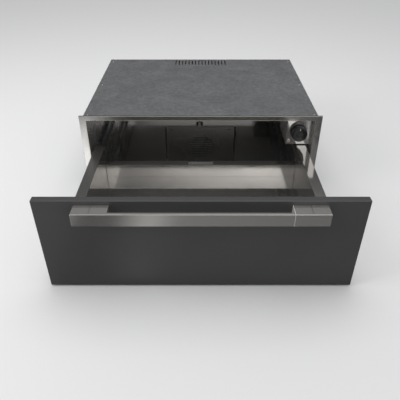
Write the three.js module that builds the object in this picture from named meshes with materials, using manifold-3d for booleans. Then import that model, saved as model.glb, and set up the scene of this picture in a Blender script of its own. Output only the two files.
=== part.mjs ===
// Built-in warming drawer, pulled out to its stop.
// Millimetres. X runs to the viewer's right, Y into the cabinet, Z up.
// In the layout y = 0 is the front face of the flange and z = 0 the underside of the casing.
// The model's own origin is the middle of that underside.
import * as THREE from 'three';
import { mergeVertices } from 'three/addons/utils/BufferGeometryUtils.js';
import Module from 'manifold-3d';

// ---- fits and sheets ----
const gap = 0.3; // between pieces that are fitted together
const casingSheet = 1;
const linerSheet = 1;
const drawerSheet = 1;

// ---- cuts and facets ----
const past = 1; // how far a cutting tool runs past the face that it enters by
const fineSides = 40;
const roundSides = 20;
const boreSides = 16;
const smallSides = 12;
const weld = 1e-4; // vertices closer than this are one

// ---- casing ----
const sideSpace = 11; // from the mouth's side to the casing's outer face
const topSpace = 10; // from the cavity's ceiling to the casing's top
const rearRoom = 4.3; // from the motor shaft's tail to the rear panel
const baseLip = 8;
const coverLip = 12;
const sideReturn = 12;

// ---- flange round the mouth ----
const flangeSide = 21; // beside the mouth
const flangeTop = 15; // above the mouth
const flangeThickness = 2;
const hemWidth = 4;
const hemDepth = 4; // the hem's back bears on the cabinet's front edges

// ---- warm cavity ----
const mouthWidth = 702;
const cavityFloor = 10; // height of the cavity's floor above the casing's underside
const cavityHeight = 232;
const cavityDepth = 470;
const linerFlange = 8;
const linerFrontLip = 7;
const insulationInset = 2; // kept free round the ends of each insulation mat

// ---- vents ----
const ventCount = 16;
const ventWidth = 4;
const ventLength = 50;
const ventPitch = 13;
const ventInset = 12; // from the vent's end to the casing's rear edge
const rearVentSill = 150;

// ---- fan cover in the back wall ----
const coverWidth = 286;
const coverHeight = 176;
const coverSill = 16; // above the cavity's floor
const coverSheet = 1;
const outletSlot = 8; // open slot at each side of the cover
const coverPlay = 1; // above and below the cover
const intakeRadius = 52;
const intakeSlotHeight = 5;
const intakePitch = 11;
const coverScrewInsetX = 21;
const coverScrewInsetZ = 11;

// ---- heater housing behind the back wall ----
const housingDepth = 45;
const housingSheet = 1;
const housingPlay = 1; // between the back wall's opening and the housing's walls
const housingFlange = 8;
const postRadius = 5;
const ringRoom = 10; // from the ring's middle line to the height of the cover's edge
const ringTubeRadius = 3.25;
const ringStations = 24;
const ringSteps = 72;
const ringTilt = 10; // half angle between the ring's two legs, in degrees
const ringDepth = 24; // from the back wall to the ring's plane
const legLength = 36;
const legStations = [0.95, 0.55, 0.25]; // shares of the leg's length where its curve is held
const cutoutRadius = 8;
const cutoutHeight = 7;
const cutoutTabWidth = 6;
const cutoutX = 95;
const cutoutRise = 46; // above the fan's axis

// ---- fan and motor ----
const impellerRadius = 55;
const impellerDepth = 17;
const impellerSheet = 1.2;
const impellerHubRadius = 7;
const impellerInner = 22;
const impellerSetback = 9; // from the back wall's front face to the blades
const bladeCount = 10;
const bladeTilt = 12; // degrees
const shaftRadius = 2.5;
const shaftNose = 6; // shaft in front of the impeller, for its nut
const nutRadius = 5;
const nutThickness = 4;
const bracketSheet = 1.5;
const bracketReach = 14;
const bracketHalfSpan = 45;
const bracketFoot = 17;
const bracketHeight = 30;
const stackDepth = 16;
const stackHalfWidth = 30;
const stackDrop = 22; // stack below the fan's axis
const rotorRadius = 11.7;
const rotorAirGap = 0.6;
const windowHalfWidth = 18;
const windowSill = 17; // coil window above the fan's axis
const windowHeight = 9;
const limbHeight = 8;
const coilHalfWidth = 15;
const coilBuild = 5; // winding beyond the iron
const shaftTail = 6;

// ---- temperature probe at the foot of the back wall ----
const probeX = -4;
const probeRadius = 2.5;
const probeLength = 29;
const clipWidth = 10;
const clipWall = 1.4;

// ---- mains entry ----
const glandInset = 51; // from the mouth's left side
const glandHeight = 40;
const glandBore = 4.5;
const glandThread = 8;
const glandHead = 11;
const glandHeadLength = 6;
const glandChamfer = 2;
const glandThreadLength = 10;
const glandNutLength = 4;
const blockWidth = 44;
const blockDepth = 22;
const blockHeight = 18;
const blockSetback = 34; // from the rear panel
const wellRadius = 2.5;
const wellDepth = 8;
const wellPitch = 13;

// ---- control housing in the upper right corner of the cavity ----
const controlWidth = 78;
const controlRoom = 3; // between the pan's rails and the housing above them
const controlDepth = 112;
const controlSheet = 1;
const controlRecess = 26; // from the flange's face to the fascia's face
const controlCableRadius = 9;
const fasciaSheet = 1.2;
const knobInsetX = 37; // from the housing's left side
const knobRise = 43; // above the housing's underside
const knobRadius = 26;
const knobLength = 24;
const knobWall = 3;
const knobClearance = 0.6;
const knobDish = 1; // the knob's face is sunk this far inside its raised ring
const knobDishRadius = 12.5;
const knobFaceRadius = 22.5;
const knobShoulder = 1.2;
const knobShoulderRadius = 24.5;
const skirtHeight = 4; // the flared foot of the knob
const grooveHeight = 2; // the ring groove above the foot
const grooveRadius = 24;
const pointerWidth = 2;
const pointerRise = 0.5;
const pointerInset = 14; // the pointer's inner end, from the knob's axis
const pointerOuter = 22;
const bossRadius = 7;
const spindleRadius = 3;
const spindleLength = 34;
const spindleGrip = 9;
const bushRadius = 4.7;
const bushLength = 7;
const bushNutRadius = 8;
const bushNutThickness = 3;
const thermostatSize = 38;
const thermostatDepth = 28;
const tabLength = 7;
const tabThickness = 0.8;
const tabWidth = 6;
const tabOffset = 10; // each contact tab from the thermostat's middle
const lampInsetX = 9;
const lampRise = 13;
const lampRadius = 3.6;
const lampStem = 2.6;
const lampDome = 2.6;
const lampCollar = 1;
const lampFacets = [[0.55, 0.85], [0.9, 0.4]]; // shares of the dome's radius and height
const lampStemReach = 3; // past the fascia's back
const lampHolderWall = 1.5;
const lampHolderLength = 15;

// ---- telescopic slides ----
const slideSpace = 13; // between the cavity's side and the drawer
const slideSheet = 1.2;
const slideHeight = 45;
const slideRearRoom = 15; // from the slides' rear ends to the back wall
const slideSill = 50; // above the cavity's floor
const slideFront = 5;
const raceGap = 0.4; // running clearance between two members' lips
const lipReach = 10;
const midStandoff = 3.1;
const innerReach = 6.9;

// ---- drawer ----
const travelReserve = 20; // the drawer stops this much short of the slides' length
const drawerRearRoom = 20; // from the shut drawer to the back wall
const drawerFloorRise = 33; // underside of the pan above the cavity's floor
const wallHeight = 103; // side walls above the pan's floor
const railWidth = 30;
const railSheet = 1.2;
const outerSkirt = 95;
const backHeight = 45;
const backRail = 24;
const notchWidth = 70;
const notchDepth = 12;
const notchFlare = 7;
const frontLip = 14;

// ---- decor panel and its carrier ----
const panelOverhang = 6.5; // beyond the flange at each side
const panelRise = 6; // above the flange
const panelThickness = 19;
const panelSill = 3;
const panelBevel = 1;
const carrierThickness = 2;
const carrierInset = 10.5; // at each side of the panel
const carrierSill = 12; // above the panel's lower edge
const carrierDrop = 13; // below the panel's upper edge
const closedGap = 4; // from the carrier to the flange when the drawer is shut

// ---- handle ----
const handleInset = 95; // at each side of the panel
const handleHeight = 32;
const handleReach = 37; // from the panel's face to the handle's face
const handleDrop = 10; // from the panel's top to the handle's top
const handleBarDepth = 8.5;
const handleEndWidth = 80;
const handleWall = 3;
const handleChamfer = 0.8;
const tongueDepth = 4.2;
const tongueLength = 18;
const tongueInset = 6;
const handleBossRadius = 5;

// ---- screws ----
const screwRadius = 1.6;
const screwHead = 3.6;
const screwHeadHeight = 2;
const screwHeadTaper = 0.8; // crown over rim
const coverScrewLength = 12;
const handleScrewRadius = 2;
const handleScrewHead = 4.2;
const handleScrewRoom = 1.5; // round the head, in the carrier
const handleScrewBite = 12;

// ---- derived places ----
const mouthHalf = mouthWidth / 2;
const cavityTop = cavityFloor + cavityHeight;
const glandX = glandInset - mouthHalf;
const flangeWidth = mouthWidth + 2 * flangeSide;
const flangeHeight = cavityTop + flangeTop;
const casingHalf = mouthHalf + sideSpace;
const casingHeight = cavityTop + topSpace;
const casingInner = casingHalf - casingSheet - gap;
const casingFront = flangeThickness + gap;
const coverUnderside = casingHeight - casingSheet;
const linerRear = cavityDepth - gap;
const linerOuter = mouthHalf + linerSheet;
const backRear = cavityDepth + linerSheet;
const coverBottom = cavityFloor + coverSill;
const fanHeight = coverBottom + coverHeight / 2;
const coverScrewX = coverWidth / 2 - coverScrewInsetX;
const coverScrewZ = coverHeight / 2 - coverScrewInsetZ;
const outletHalf = coverWidth / 2 + outletSlot;
const outletHalfHeight = coverHeight / 2 + coverPlay;
const housingFront = backRear + gap;
const housingRear = housingFront + housingDepth;
const impellerFront = cavityDepth + impellerSetback;
const impellerBack = impellerFront + impellerDepth;
const bracketRear = housingRear + gap + bracketReach + bracketSheet;
const stackFront = bracketRear + gap;
const stackRear = stackFront + stackDepth;
const shaftEnd = stackRear + shaftTail;
const rearFace = shaftEnd + rearRoom;
const casingDepth = rearFace + gap + casingSheet; // from the front face of the flange
const ringRadius = coverHeight / 2 - ringRoom;
const slideLength = cavityDepth - slideFront - slideRearRoom;
const drawerTravel = slideLength - travelReserve;
const panUnderside = cavityFloor + drawerFloorRise;
const panFloor = panUnderside + drawerSheet;
const wallTop = panFloor + wallHeight;
const controlLeft = mouthHalf - controlWidth;
const controlRight = mouthHalf - gap;
const controlBottom = wallTop + controlRoom;
const controlTop = cavityTop - gap;
const fasciaBack = controlRecess + fasciaSheet;
const knobX = controlLeft + knobInsetX;
const knobZ = controlBottom + knobRise;
const lampX = controlLeft + lampInsetX;
const lampZ = controlBottom + lampRise;
const slideMiddle = cavityFloor + slideSill + slideHeight / 2;
const drawerOuter = mouthHalf - slideSpace;
const panInner = drawerOuter - railWidth;
const panHalf = panInner - gap;
const carrierRear = -closedGap;
const panelRear = carrierRear - carrierThickness;
const panelFront = panelRear - panelThickness;
const panFront = carrierRear + gap;
const drawerRear = cavityDepth - drawerRearRoom;
const panelWidth = flangeWidth + 2 * panelOverhang;
const panelTop = flangeHeight + panelRise;
const handleWidth = panelWidth - 2 * handleInset;
const handleFront = panelFront - handleReach;
const handleTop = panelTop - handleDrop;
const handleMiddle = handleTop - handleHeight / 2;
const handleEndInner = handleWidth / 2 - handleEndWidth;
const handleScrewX = handleEndInner + handleEndWidth / 2;
const carrierBottom = panelSill + carrierSill;
const carrierTop = panelTop - carrierDrop;

// ---- finishes ----
const finishes = {
  polishedSteel: { color: 0xc4c1bc, roughness: 0.1, metalness: 1 },
  satinSteel: { color: 0xaba7a1, roughness: 0.32, metalness: 1 },
  zincSteel: { color: 0x8f9396, roughness: 0.5, metalness: 0.9 },
  slideSteel: { color: 0x9a9c9d, roughness: 0.35, metalness: 1 },
  darkLacquer: { color: 0x38383a, roughness: 0.55, metalness: 0 },
  blackPlastic: { color: 0x1b1b1c, roughness: 0.35, metalness: 0 },
  palePlastic: { color: 0xd8d5cc, roughness: 0.5, metalness: 0 },
  mineralWool: { color: 0xa89a72, roughness: 1, metalness: 0 },
  copperWire: { color: 0xa4562c, roughness: 0.4, metalness: 0.8 },
  laminatedIron: { color: 0x55575a, roughness: 0.6, metalness: 0.8 },
  aluminium: { color: 0xb4b6b8, roughness: 0.4, metalness: 1 },
  amberLens: { color: 0xd98a3a, roughness: 0.15, metalness: 0 },
};

// ---- solids ----
const wasm = await Module();
wasm.setup();

// A closed geometry as a solid that can be joined and cut.
function toSolid(geometry) {
  const bare = geometry.clone();
  bare.deleteAttribute('normal');
  bare.deleteAttribute('uv');
  const merged = mergeVertices(bare, weld);
  const vertProperties = new Float32Array(merged.attributes.position.array);
  const triVerts = new Uint32Array(merged.index.array);
  return new wasm.Manifold(new wasm.Mesh({ numProp: 3, vertProperties, triVerts }));
}

function toGeometry(solid) {
  const { vertProperties, triVerts } = solid.getMesh();
  const geometry = new THREE.BufferGeometry();
  geometry.setAttribute('position', new THREE.BufferAttribute(vertProperties, 3));
  geometry.setIndex(new THREE.BufferAttribute(triVerts, 1));
  geometry.computeVertexNormals();
  return geometry;
}

function join(geometries) {
  const solids = geometries.map(toSolid);
  return toGeometry(solids.reduce((whole, solid) => whole.add(solid)));
}

function cut(geometry, tools) {
  return toGeometry(tools.reduce((left, tool) => left.subtract(toSolid(tool)), toSolid(geometry)));
}

// A box between two limits on each axis.
function block([x0, x1], [y0, y1], [z0, z1]) {
  const box = new THREE.BoxGeometry(x1 - x0, y1 - y0, z1 - z0);
  return box.translate((x0 + x1) / 2, (y0 + y1) / 2, (z0 + z1) / 2);
}

// Where a drawn outline's right, up and depth directions point for an extrusion along an axis.
const extrusionBases = {
  x: [new THREE.Vector3(0, 1, 0), new THREE.Vector3(0, 0, 1), new THREE.Vector3(1, 0, 0)],
  y: [new THREE.Vector3(1, 0, 0), new THREE.Vector3(0, 0, 1), new THREE.Vector3(0, -1, 0)],
  z: [new THREE.Vector3(1, 0, 0), new THREE.Vector3(0, 1, 0), new THREE.Vector3(0, 0, 1)],
};

// An outline pushed along an axis between two limits. Along y it is drawn as seen from the front.
function extrude(shape, axis, [from, to], settings = {}) {
  const geometry = new THREE.ExtrudeGeometry(shape, { depth: to - from, bevelEnabled: false, ...settings });
  const [right, up, depth] = extrusionBases[axis];
  geometry.applyMatrix4(new THREE.Matrix4().makeBasis(right, up, depth));
  const start = depth.y < 0 ? -to : from;
  return geometry.translate(depth.x * start, depth.y * start, depth.z * start);
}

function outline(points) {
  return new THREE.Shape(points.map(([x, y]) => new THREE.Vector2(x, y)));
}

function rectangle([x0, x1], [y0, y1]) {
  return outline([[x0, y0], [x1, y0], [x1, y1], [x0, y1]]);
}

// The section of a folded sheet: its outer face follows the points, its metal lies to their right.
function foldedSection(points, thickness) {
  const normals = points.slice(1).map(([x, y], index) => {
    const run = new THREE.Vector2(x - points[index][0], y - points[index][1]).normalize();
    return new THREE.Vector2(run.y, -run.x);
  });
  const inner = points.map(([x, y], index) => {
    const before = normals[Math.max(index - 1, 0)];
    const after = normals[Math.min(index, normals.length - 1)];
    const mitre = before.clone().add(after).multiplyScalar(thickness / (1 + before.dot(after)));
    return [x + mitre.x, y + mitre.y];
  });
  return [...points, ...inner.reverse()];
}

function mirrored(points, side) {
  return points.map(([x, y]) => [x * side, y]);
}

// A round bar along y, at x and z, between two depths.
function barAlongY(radius, [x, z], [from, to], sides = roundSides) {
  const bar = new THREE.CylinderGeometry(radius, radius, to - from, sides);
  return bar.translate(x, (from + to) / 2, z);
}

function barAlongZ(radius, [x, y], [from, to], sides = boreSides) {
  const bar = new THREE.CylinderGeometry(radius, radius, to - from, sides);
  return bar.rotateX(Math.PI / 2).translate(x, y, (from + to) / 2);
}

// A turned piece about y: the profile gives [radius, y] from its front on the axis to its back.
function turned(profile, sides = roundSides) {
  return new THREE.LatheGeometry(profile.map(([radius, y]) => new THREE.Vector2(radius, y)), sides);
}

// A hexagon nut about y, with its corners at the given radius.
function hexNut(corners, bore, [from, to]) {
  const hole = barAlongY(bore, [0, 0], [from - past, to + past]);
  return cut(barAlongY(corners, [0, 0], [from, to], 6), [hole]);
}

// A screw whose head lies at y = 0 and up, with its shank below.
function screw(shank, length, head) {
  const crown = [head * screwHeadTaper, screwHeadHeight];
  const profile = [[0, -length], [shank, -length], [shank, 0], [head, 0], crown, [0, screwHeadHeight]];
  return turned(profile, smallSides);
}

// The two ends of a length centred on a place.
function around(middle, length) {
  return [middle - length / 2, middle + length / 2];
}

// A row of numbers spaced evenly about zero.
function spread(count, pitch) {
  return Array.from({ length: count }, (_, index) => (index - (count - 1) / 2) * pitch);
}

function addPiece(group, name, geometry, finish) {
  const mesh = new THREE.Mesh(geometry, new THREE.MeshStandardMaterial(finishes[finish]));
  mesh.name = name;
  group.add(mesh);
  return mesh;
}

const sides = { left: -1, right: 1 };

// ---- casing ----
// Vent slots as cutting blocks: a row across x, each cut through the sheet at the given limits.
function ventBlocks(depthRange, heightRange) {
  return spread(ventCount, ventPitch).map((x) =>
    block(around(x, ventWidth), depthRange, heightRange));
}

function addCasing(group) {
  const lipRange = [rearFace - casingSheet, rearFace];

  const tray = foldedSection(
    [[casingInner, baseLip], [casingInner, 0], [-casingInner, 0], [-casingInner, baseLip]], casingSheet);
  const trayLip = block([-casingInner, casingInner], lipRange, [0, baseLip]);
  const trayBody = extrude(outline(tray), 'y', [casingFront, rearFace]);
  addPiece(group, 'base_tray', join([trayBody, trayLip]), 'zincSteel');

  const sideTop = coverUnderside - gap;
  for (const [name, side] of Object.entries(sides)) {
    const section = foldedSection(
      [[casingHalf - sideReturn, sideTop], [casingHalf, sideTop], [casingHalf, 0]], casingSheet);
    const sheet = extrude(outline(mirrored(section, side)), 'y', [casingFront, rearFace]);
    addPiece(group, `side_case_${name}`, sheet, 'zincSteel');
  }

  const coverLipHalf = casingHalf - sideReturn - gap;
  const cover = join([
    block([-casingHalf, casingHalf], [casingFront, rearFace], [coverUnderside, casingHeight]),
    block([-coverLipHalf, coverLipHalf], lipRange, [casingHeight - coverLip, casingHeight]),
  ]);
  const ventEnd = rearFace - ventInset;
  const ventRise = [coverUnderside - past, casingHeight + past];
  const coverVents = ventBlocks([ventEnd - ventLength, ventEnd], ventRise);
  addPiece(group, 'top_cover', cut(cover, coverVents), 'zincSteel');

  const rearSheet = extrude(
    rectangle([-casingHalf, casingHalf], [0, casingHeight]), 'y', [casingDepth - casingSheet, casingDepth]);
  const through = [rearFace, casingDepth + past];
  const rearVents = ventBlocks(through, [rearVentSill, rearVentSill + ventLength]);
  const glandHole = barAlongY(glandThread + gap, [glandX, glandHeight], through);
  addPiece(group, 'rear_panel', cut(rearSheet, [...rearVents, glandHole]), 'zincSteel');
}

// ---- flange, liner and insulation ----
function addFlange(group) {
  const face = rectangle([-flangeWidth / 2, flangeWidth / 2], [0, flangeHeight]);
  face.holes.push(rectangle([-mouthHalf, mouthHalf], [cavityFloor, cavityTop]));
  const half = flangeWidth / 2;
  const inner = half - hemWidth;
  const hem = outline([[-half, 0], [-inner, 0], [-inner, flangeHeight - hemWidth],
    [inner, flangeHeight - hemWidth], [inner, 0], [half, 0], [half, flangeHeight], [-half, flangeHeight]]);
  const frame = join([
    extrude(face, 'y', [0, flangeThickness]),
    extrude(hem, 'y', [flangeThickness / 2, flangeThickness + hemDepth]),
  ]);
  addPiece(group, 'front_frame', frame, 'satinSteel');
}

function addLiner(group) {
  const across = [-linerOuter, linerOuter];
  const floorSection = foldedSection(
    [[casingFront, casingSheet + gap], [casingFront, cavityFloor], [linerRear, cavityFloor]], linerSheet);
  addPiece(group, 'liner_floor', extrude(outline(floorSection), 'x', across), 'polishedSteel');

  const sideTop = cavityTop - gap;
  for (const [name, side] of Object.entries(sides)) {
    const flangeEnd = mouthHalf + linerFlange;
    const section = foldedSection(
      [[mouthHalf, cavityFloor + gap], [mouthHalf, sideTop], [flangeEnd, sideTop]], linerSheet);
    const wall = extrude(outline(mirrored(section, side)), 'y', [casingFront, linerRear]);
    addPiece(group, `liner_${name}`, wall, 'polishedSteel');
  }

  const lipTop = cavityTop + linerFrontLip;
  const topSection = foldedSection(
    [[linerRear, cavityTop], [casingFront, cavityTop], [casingFront, lipTop]], linerSheet);
  addPiece(group, 'liner_top', extrude(outline(topSection), 'x', across), 'polishedSteel');

  const back = rectangle(across, [casingSheet + gap, cavityTop + linerSheet]);
  back.holes.push(rectangle(
    [-outletHalf, outletHalf], [fanHeight - outletHalfHeight, fanHeight + outletHalfHeight]));
  addPiece(group, 'liner_back', extrude(back, 'y', [cavityDepth, backRear]), 'polishedSteel');
}

function addInsulation(group) {
  const frontEnd = casingFront + linerSheet + gap;
  const length = [frontEnd, linerRear - insulationInset];
  const matHalf = casingInner - casingSheet - insulationInset;
  const underFloor = [casingSheet + gap, cavityFloor - linerSheet - gap];
  addPiece(group, 'insulation_bottom', block([-matHalf, matHalf], length, underFloor), 'mineralWool');
  const topHalf = casingHalf - sideReturn - gap;
  const overTop = [cavityTop + linerSheet + gap, coverUnderside - gap];
  addPiece(group, 'insulation_top', block([-topHalf, topHalf], length, overTop), 'mineralWool');
  const sideSpan = [linerOuter + gap, casingInner];
  const sideRise = [cavityFloor + gap, cavityTop - linerSheet - 2 * gap];
  for (const [name, side] of Object.entries(sides)) {
    const [near, far] = sideSpan.map((x) => x * side);
    const mat = block([Math.min(near, far), Math.max(near, far)], length, sideRise);
    addPiece(group, `insulation_${name}`, mat, 'mineralWool');
  }
}

// ---- heater housing, fan cover and heater ----
const screwCorners = {
  lower_left: [-coverScrewX, fanHeight - coverScrewZ],
  lower_right: [coverScrewX, fanHeight - coverScrewZ],
  upper_left: [-coverScrewX, fanHeight + coverScrewZ],
  upper_right: [coverScrewX, fanHeight + coverScrewZ],
};
const screwPlaces = Object.values(screwCorners);
const legAngles = [ringTilt, 360 - ringTilt].map((angle) => THREE.MathUtils.degToRad(angle));
const legPlaces = legAngles.map((angle) => ringPlace(angle));

// A place on the heater's ring, counted from its lowest point.
function ringPlace(angle) {
  return [ringRadius * Math.sin(angle), fanHeight - ringRadius * Math.cos(angle)];
}

function addFanCover(group) {
  const half = coverWidth / 2;
  const coverBack = cavityDepth + coverSheet;
  const plate = block([-half, half], [cavityDepth, coverBack], [coverBottom, coverBottom + coverHeight]);
  const depth = [cavityDepth - past, coverBack + past];
  const rows = Math.floor((2 * intakeRadius) / intakePitch);
  const slots = spread(rows, intakePitch).map((rise) => {
    const reach = Math.sqrt(intakeRadius ** 2 - rise ** 2);
    const z = fanHeight + rise;
    return block([-reach, reach], depth, around(z, intakeSlotHeight));
  });
  const holes = screwPlaces.map((place) => barAlongY(screwRadius + gap, place, depth, smallSides));
  addPiece(group, 'fan_cover', cut(plate, [...slots, ...holes]), 'satinSteel');

  const coverScrew = screw(screwRadius, coverScrewLength, screwHead).rotateX(Math.PI);
  for (const [name, [x, z]] of Object.entries(screwCorners)) {
    const piece = addPiece(group, `fan_cover_screw_${name}`, coverScrew.clone(), 'satinSteel');
    piece.position.set(x, cavityDepth - gap, z);
  }
}

function addHeater(group) {
  const innerHalf = outletHalf + housingPlay;
  const innerRise = outletHalfHeight + housingPlay;
  const rise = (half) => [fanHeight - half, fanHeight + half];
  const outerHalf = innerHalf + housingSheet;
  const outerRise = innerRise + housingSheet;
  const flangeHalf = outerHalf + housingFlange;
  const flangeRange = [housingFront, housingFront + housingSheet];
  const box = join([
    block([-outerHalf, outerHalf], [housingFront, housingRear], rise(outerRise)),
    block([-flangeHalf, flangeHalf], flangeRange, rise(outerRise + housingFlange)),
  ]);
  const hollowRange = [housingFront - past, housingRear - housingSheet];
  const hollow = block([-innerHalf, innerHalf], hollowRange, rise(innerRise));
  const posts = screwPlaces.map((place) =>
    barAlongY(postRadius, place, [housingFront, housingRear - housingSheet / 2], smallSides));
  const drillRange = [housingFront - past, housingFront + coverScrewLength + past];
  const rearRange = [housingRear - 2 * housingSheet, housingRear + past];
  const drills = [
    ...screwPlaces.map((place) => barAlongY(screwRadius + gap, place, drillRange, smallSides)),
    ...legPlaces.map((place) => barAlongY(ringTubeRadius + gap, place, rearRange, boreSides)),
    barAlongY(impellerHubRadius, [0, fanHeight], rearRange),
  ];
  const shell = join([cut(box, [hollow]), ...posts]);
  addPiece(group, 'heater_housing', cut(shell, drills), 'zincSteel');

  addPiece(group, 'ring_heater', ringHeater(), 'zincSteel');

  const cutoutFront = housingRear + gap;
  const cutoutZ = fanHeight + cutoutRise;
  const cutoutEnd = cutoutFront + cutoutHeight;
  const tabRange = [cutoutEnd - past, cutoutEnd + tabLength];
  const tabs = spread(2, cutoutRadius).map((offset) => block(
    around(cutoutX + offset, tabThickness), tabRange, around(cutoutZ, cutoutTabWidth)));
  const disc = barAlongY(cutoutRadius, [cutoutX, cutoutZ], [cutoutFront, cutoutEnd]);
  addPiece(group, 'thermal_cutout', join([disc, ...tabs]), 'palePlastic');
}

// The tubular heater: a ring round the fan with two legs that leave through the housing's rear.
function ringHeater() {
  const ringY = cavityDepth + ringDepth;
  const ringPoints = Array.from({ length: ringStations + 1 }, (_, index) => {
    const angle = THREE.MathUtils.lerp(legAngles[0], legAngles[1], index / ringStations);
    const [x, z] = ringPlace(angle);
    return new THREE.Vector3(x, ringY, z);
  });
  const leg = ([x, z]) => legStations.map((share) =>
    new THREE.Vector3(x, ringY + legLength * share, z));
  const points = [...leg(legPlaces[0]), ...ringPoints, ...leg(legPlaces[1]).reverse()];
  const section = new THREE.Shape().absarc(0, 0, ringTubeRadius, 0, 2 * Math.PI);
  const extrudePath = new THREE.CatmullRomCurve3(points, false, 'centripetal');
  return new THREE.ExtrudeGeometry(section, { steps: ringSteps, curveSegments: 4, extrudePath });
}

// ---- motor ----
function addMotor(group) {
  const footRear = housingRear + gap + bracketSheet;
  const foot = bracketHalfSpan + bracketFoot;
  const hat = foldedSection([
    [-foot, footRear], [-bracketHalfSpan, footRear], [-bracketHalfSpan, bracketRear],
    [bracketHalfSpan, bracketRear], [bracketHalfSpan, footRear], [foot, footRear],
  ], bracketSheet);
  const hatBar = extrude(outline(hat), 'z', around(fanHeight, bracketHeight));
  const bearing = barAlongY(shaftRadius + gap, [0, fanHeight], [housingRear, bracketRear + past], boreSides);
  addPiece(group, 'motor_bracket', cut(hatBar, [bearing]), 'zincSteel');

  const windowFoot = fanHeight + windowSill;
  const limbFoot = windowFoot + windowHeight;
  const stackTop = limbFoot + limbHeight;
  const iron = rectangle([-stackHalfWidth, stackHalfWidth], [fanHeight - stackDrop, stackTop]);
  iron.holes.push(new THREE.Path().absarc(0, fanHeight, rotorRadius + rotorAirGap, 0, 2 * Math.PI, true));
  iron.holes.push(rectangle([-windowHalfWidth, windowHalfWidth], [windowFoot, limbFoot]));
  const stack = extrude(iron, 'y', [stackFront, stackRear], { curveSegments: smallSides });
  addPiece(group, 'motor_stator', stack, 'laminatedIron');

  const coilRise = [windowFoot + gap, stackTop + windowHeight - gap];
  const coilRange = [stackFront - coilBuild, stackRear + coilBuild];
  const winding = block(around(0, 2 * coilHalfWidth), coilRange, coilRise);
  const limbRange = [stackFront - gap, stackRear + gap];
  const limb = block(around(0, 2 * (coilHalfWidth + past)), limbRange, [limbFoot - gap, stackTop + gap]);
  addPiece(group, 'motor_coil', cut(winding, [limb]), 'copperWire');
}

// ---- probe ----
function addProbe(group) {
  const seat = probeRadius + gap;
  const clipSize = 2 * (seat + clipWall);
  const probeZ = cavityFloor + gap + clipSize / 2;
  const probeY = linerRear - clipSize / 2;
  const capsule = new THREE.CapsuleGeometry(probeRadius, probeLength - 2 * probeRadius, 3, smallSides);
  const probe = addPiece(group, 'temperature_probe', capsule.rotateZ(Math.PI / 2), 'satinSteel');
  probe.position.set(probeX, probeY, probeZ);

  const body = block(around(0, clipWidth), around(0, clipSize), around(0, clipSize));
  const bore = new THREE.CylinderGeometry(seat, seat, clipWidth + 2 * past, smallSides).rotateZ(Math.PI / 2);
  const clip = addPiece(group, 'probe_clip', cut(body, [bore]), 'zincSteel');
  clip.position.copy(probe.position);
}

// ---- mains entry ----
function addMainsEntry(group) {
  const headEnd = casingDepth + gap + glandHeadLength;
  const inner = casingDepth + gap - glandThreadLength;
  const neck = casingDepth + gap;
  const profile = [[glandBore, inner], [glandThread, inner], [glandThread, neck], [glandHead, neck],
    [glandHead, headEnd - glandChamfer], [glandHead - glandChamfer, headEnd], [glandBore, headEnd],
    [glandBore, inner]];
  const gland = addPiece(group, 'cable_gland', turned(profile), 'blackPlastic');
  gland.position.set(glandX, 0, glandHeight);
  const nut = hexNut(glandHead, glandThread + gap, [rearFace - glandNutLength, rearFace]);
  addPiece(group, 'gland_nut', nut, 'blackPlastic').position.copy(gland.position);

  const wells = spread(3, wellPitch).map((x) =>
    barAlongZ(wellRadius, [x, 0], [blockHeight - wellDepth, blockHeight + past], smallSides));
  const housing = block(around(0, blockWidth), around(0, blockDepth), [0, blockHeight]);
  const terminals = addPiece(group, 'terminal_block', cut(housing, wells), 'palePlastic');
  terminals.position.set(glandX, rearFace - blockSetback - blockDepth / 2, casingSheet + gap);
}

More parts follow.
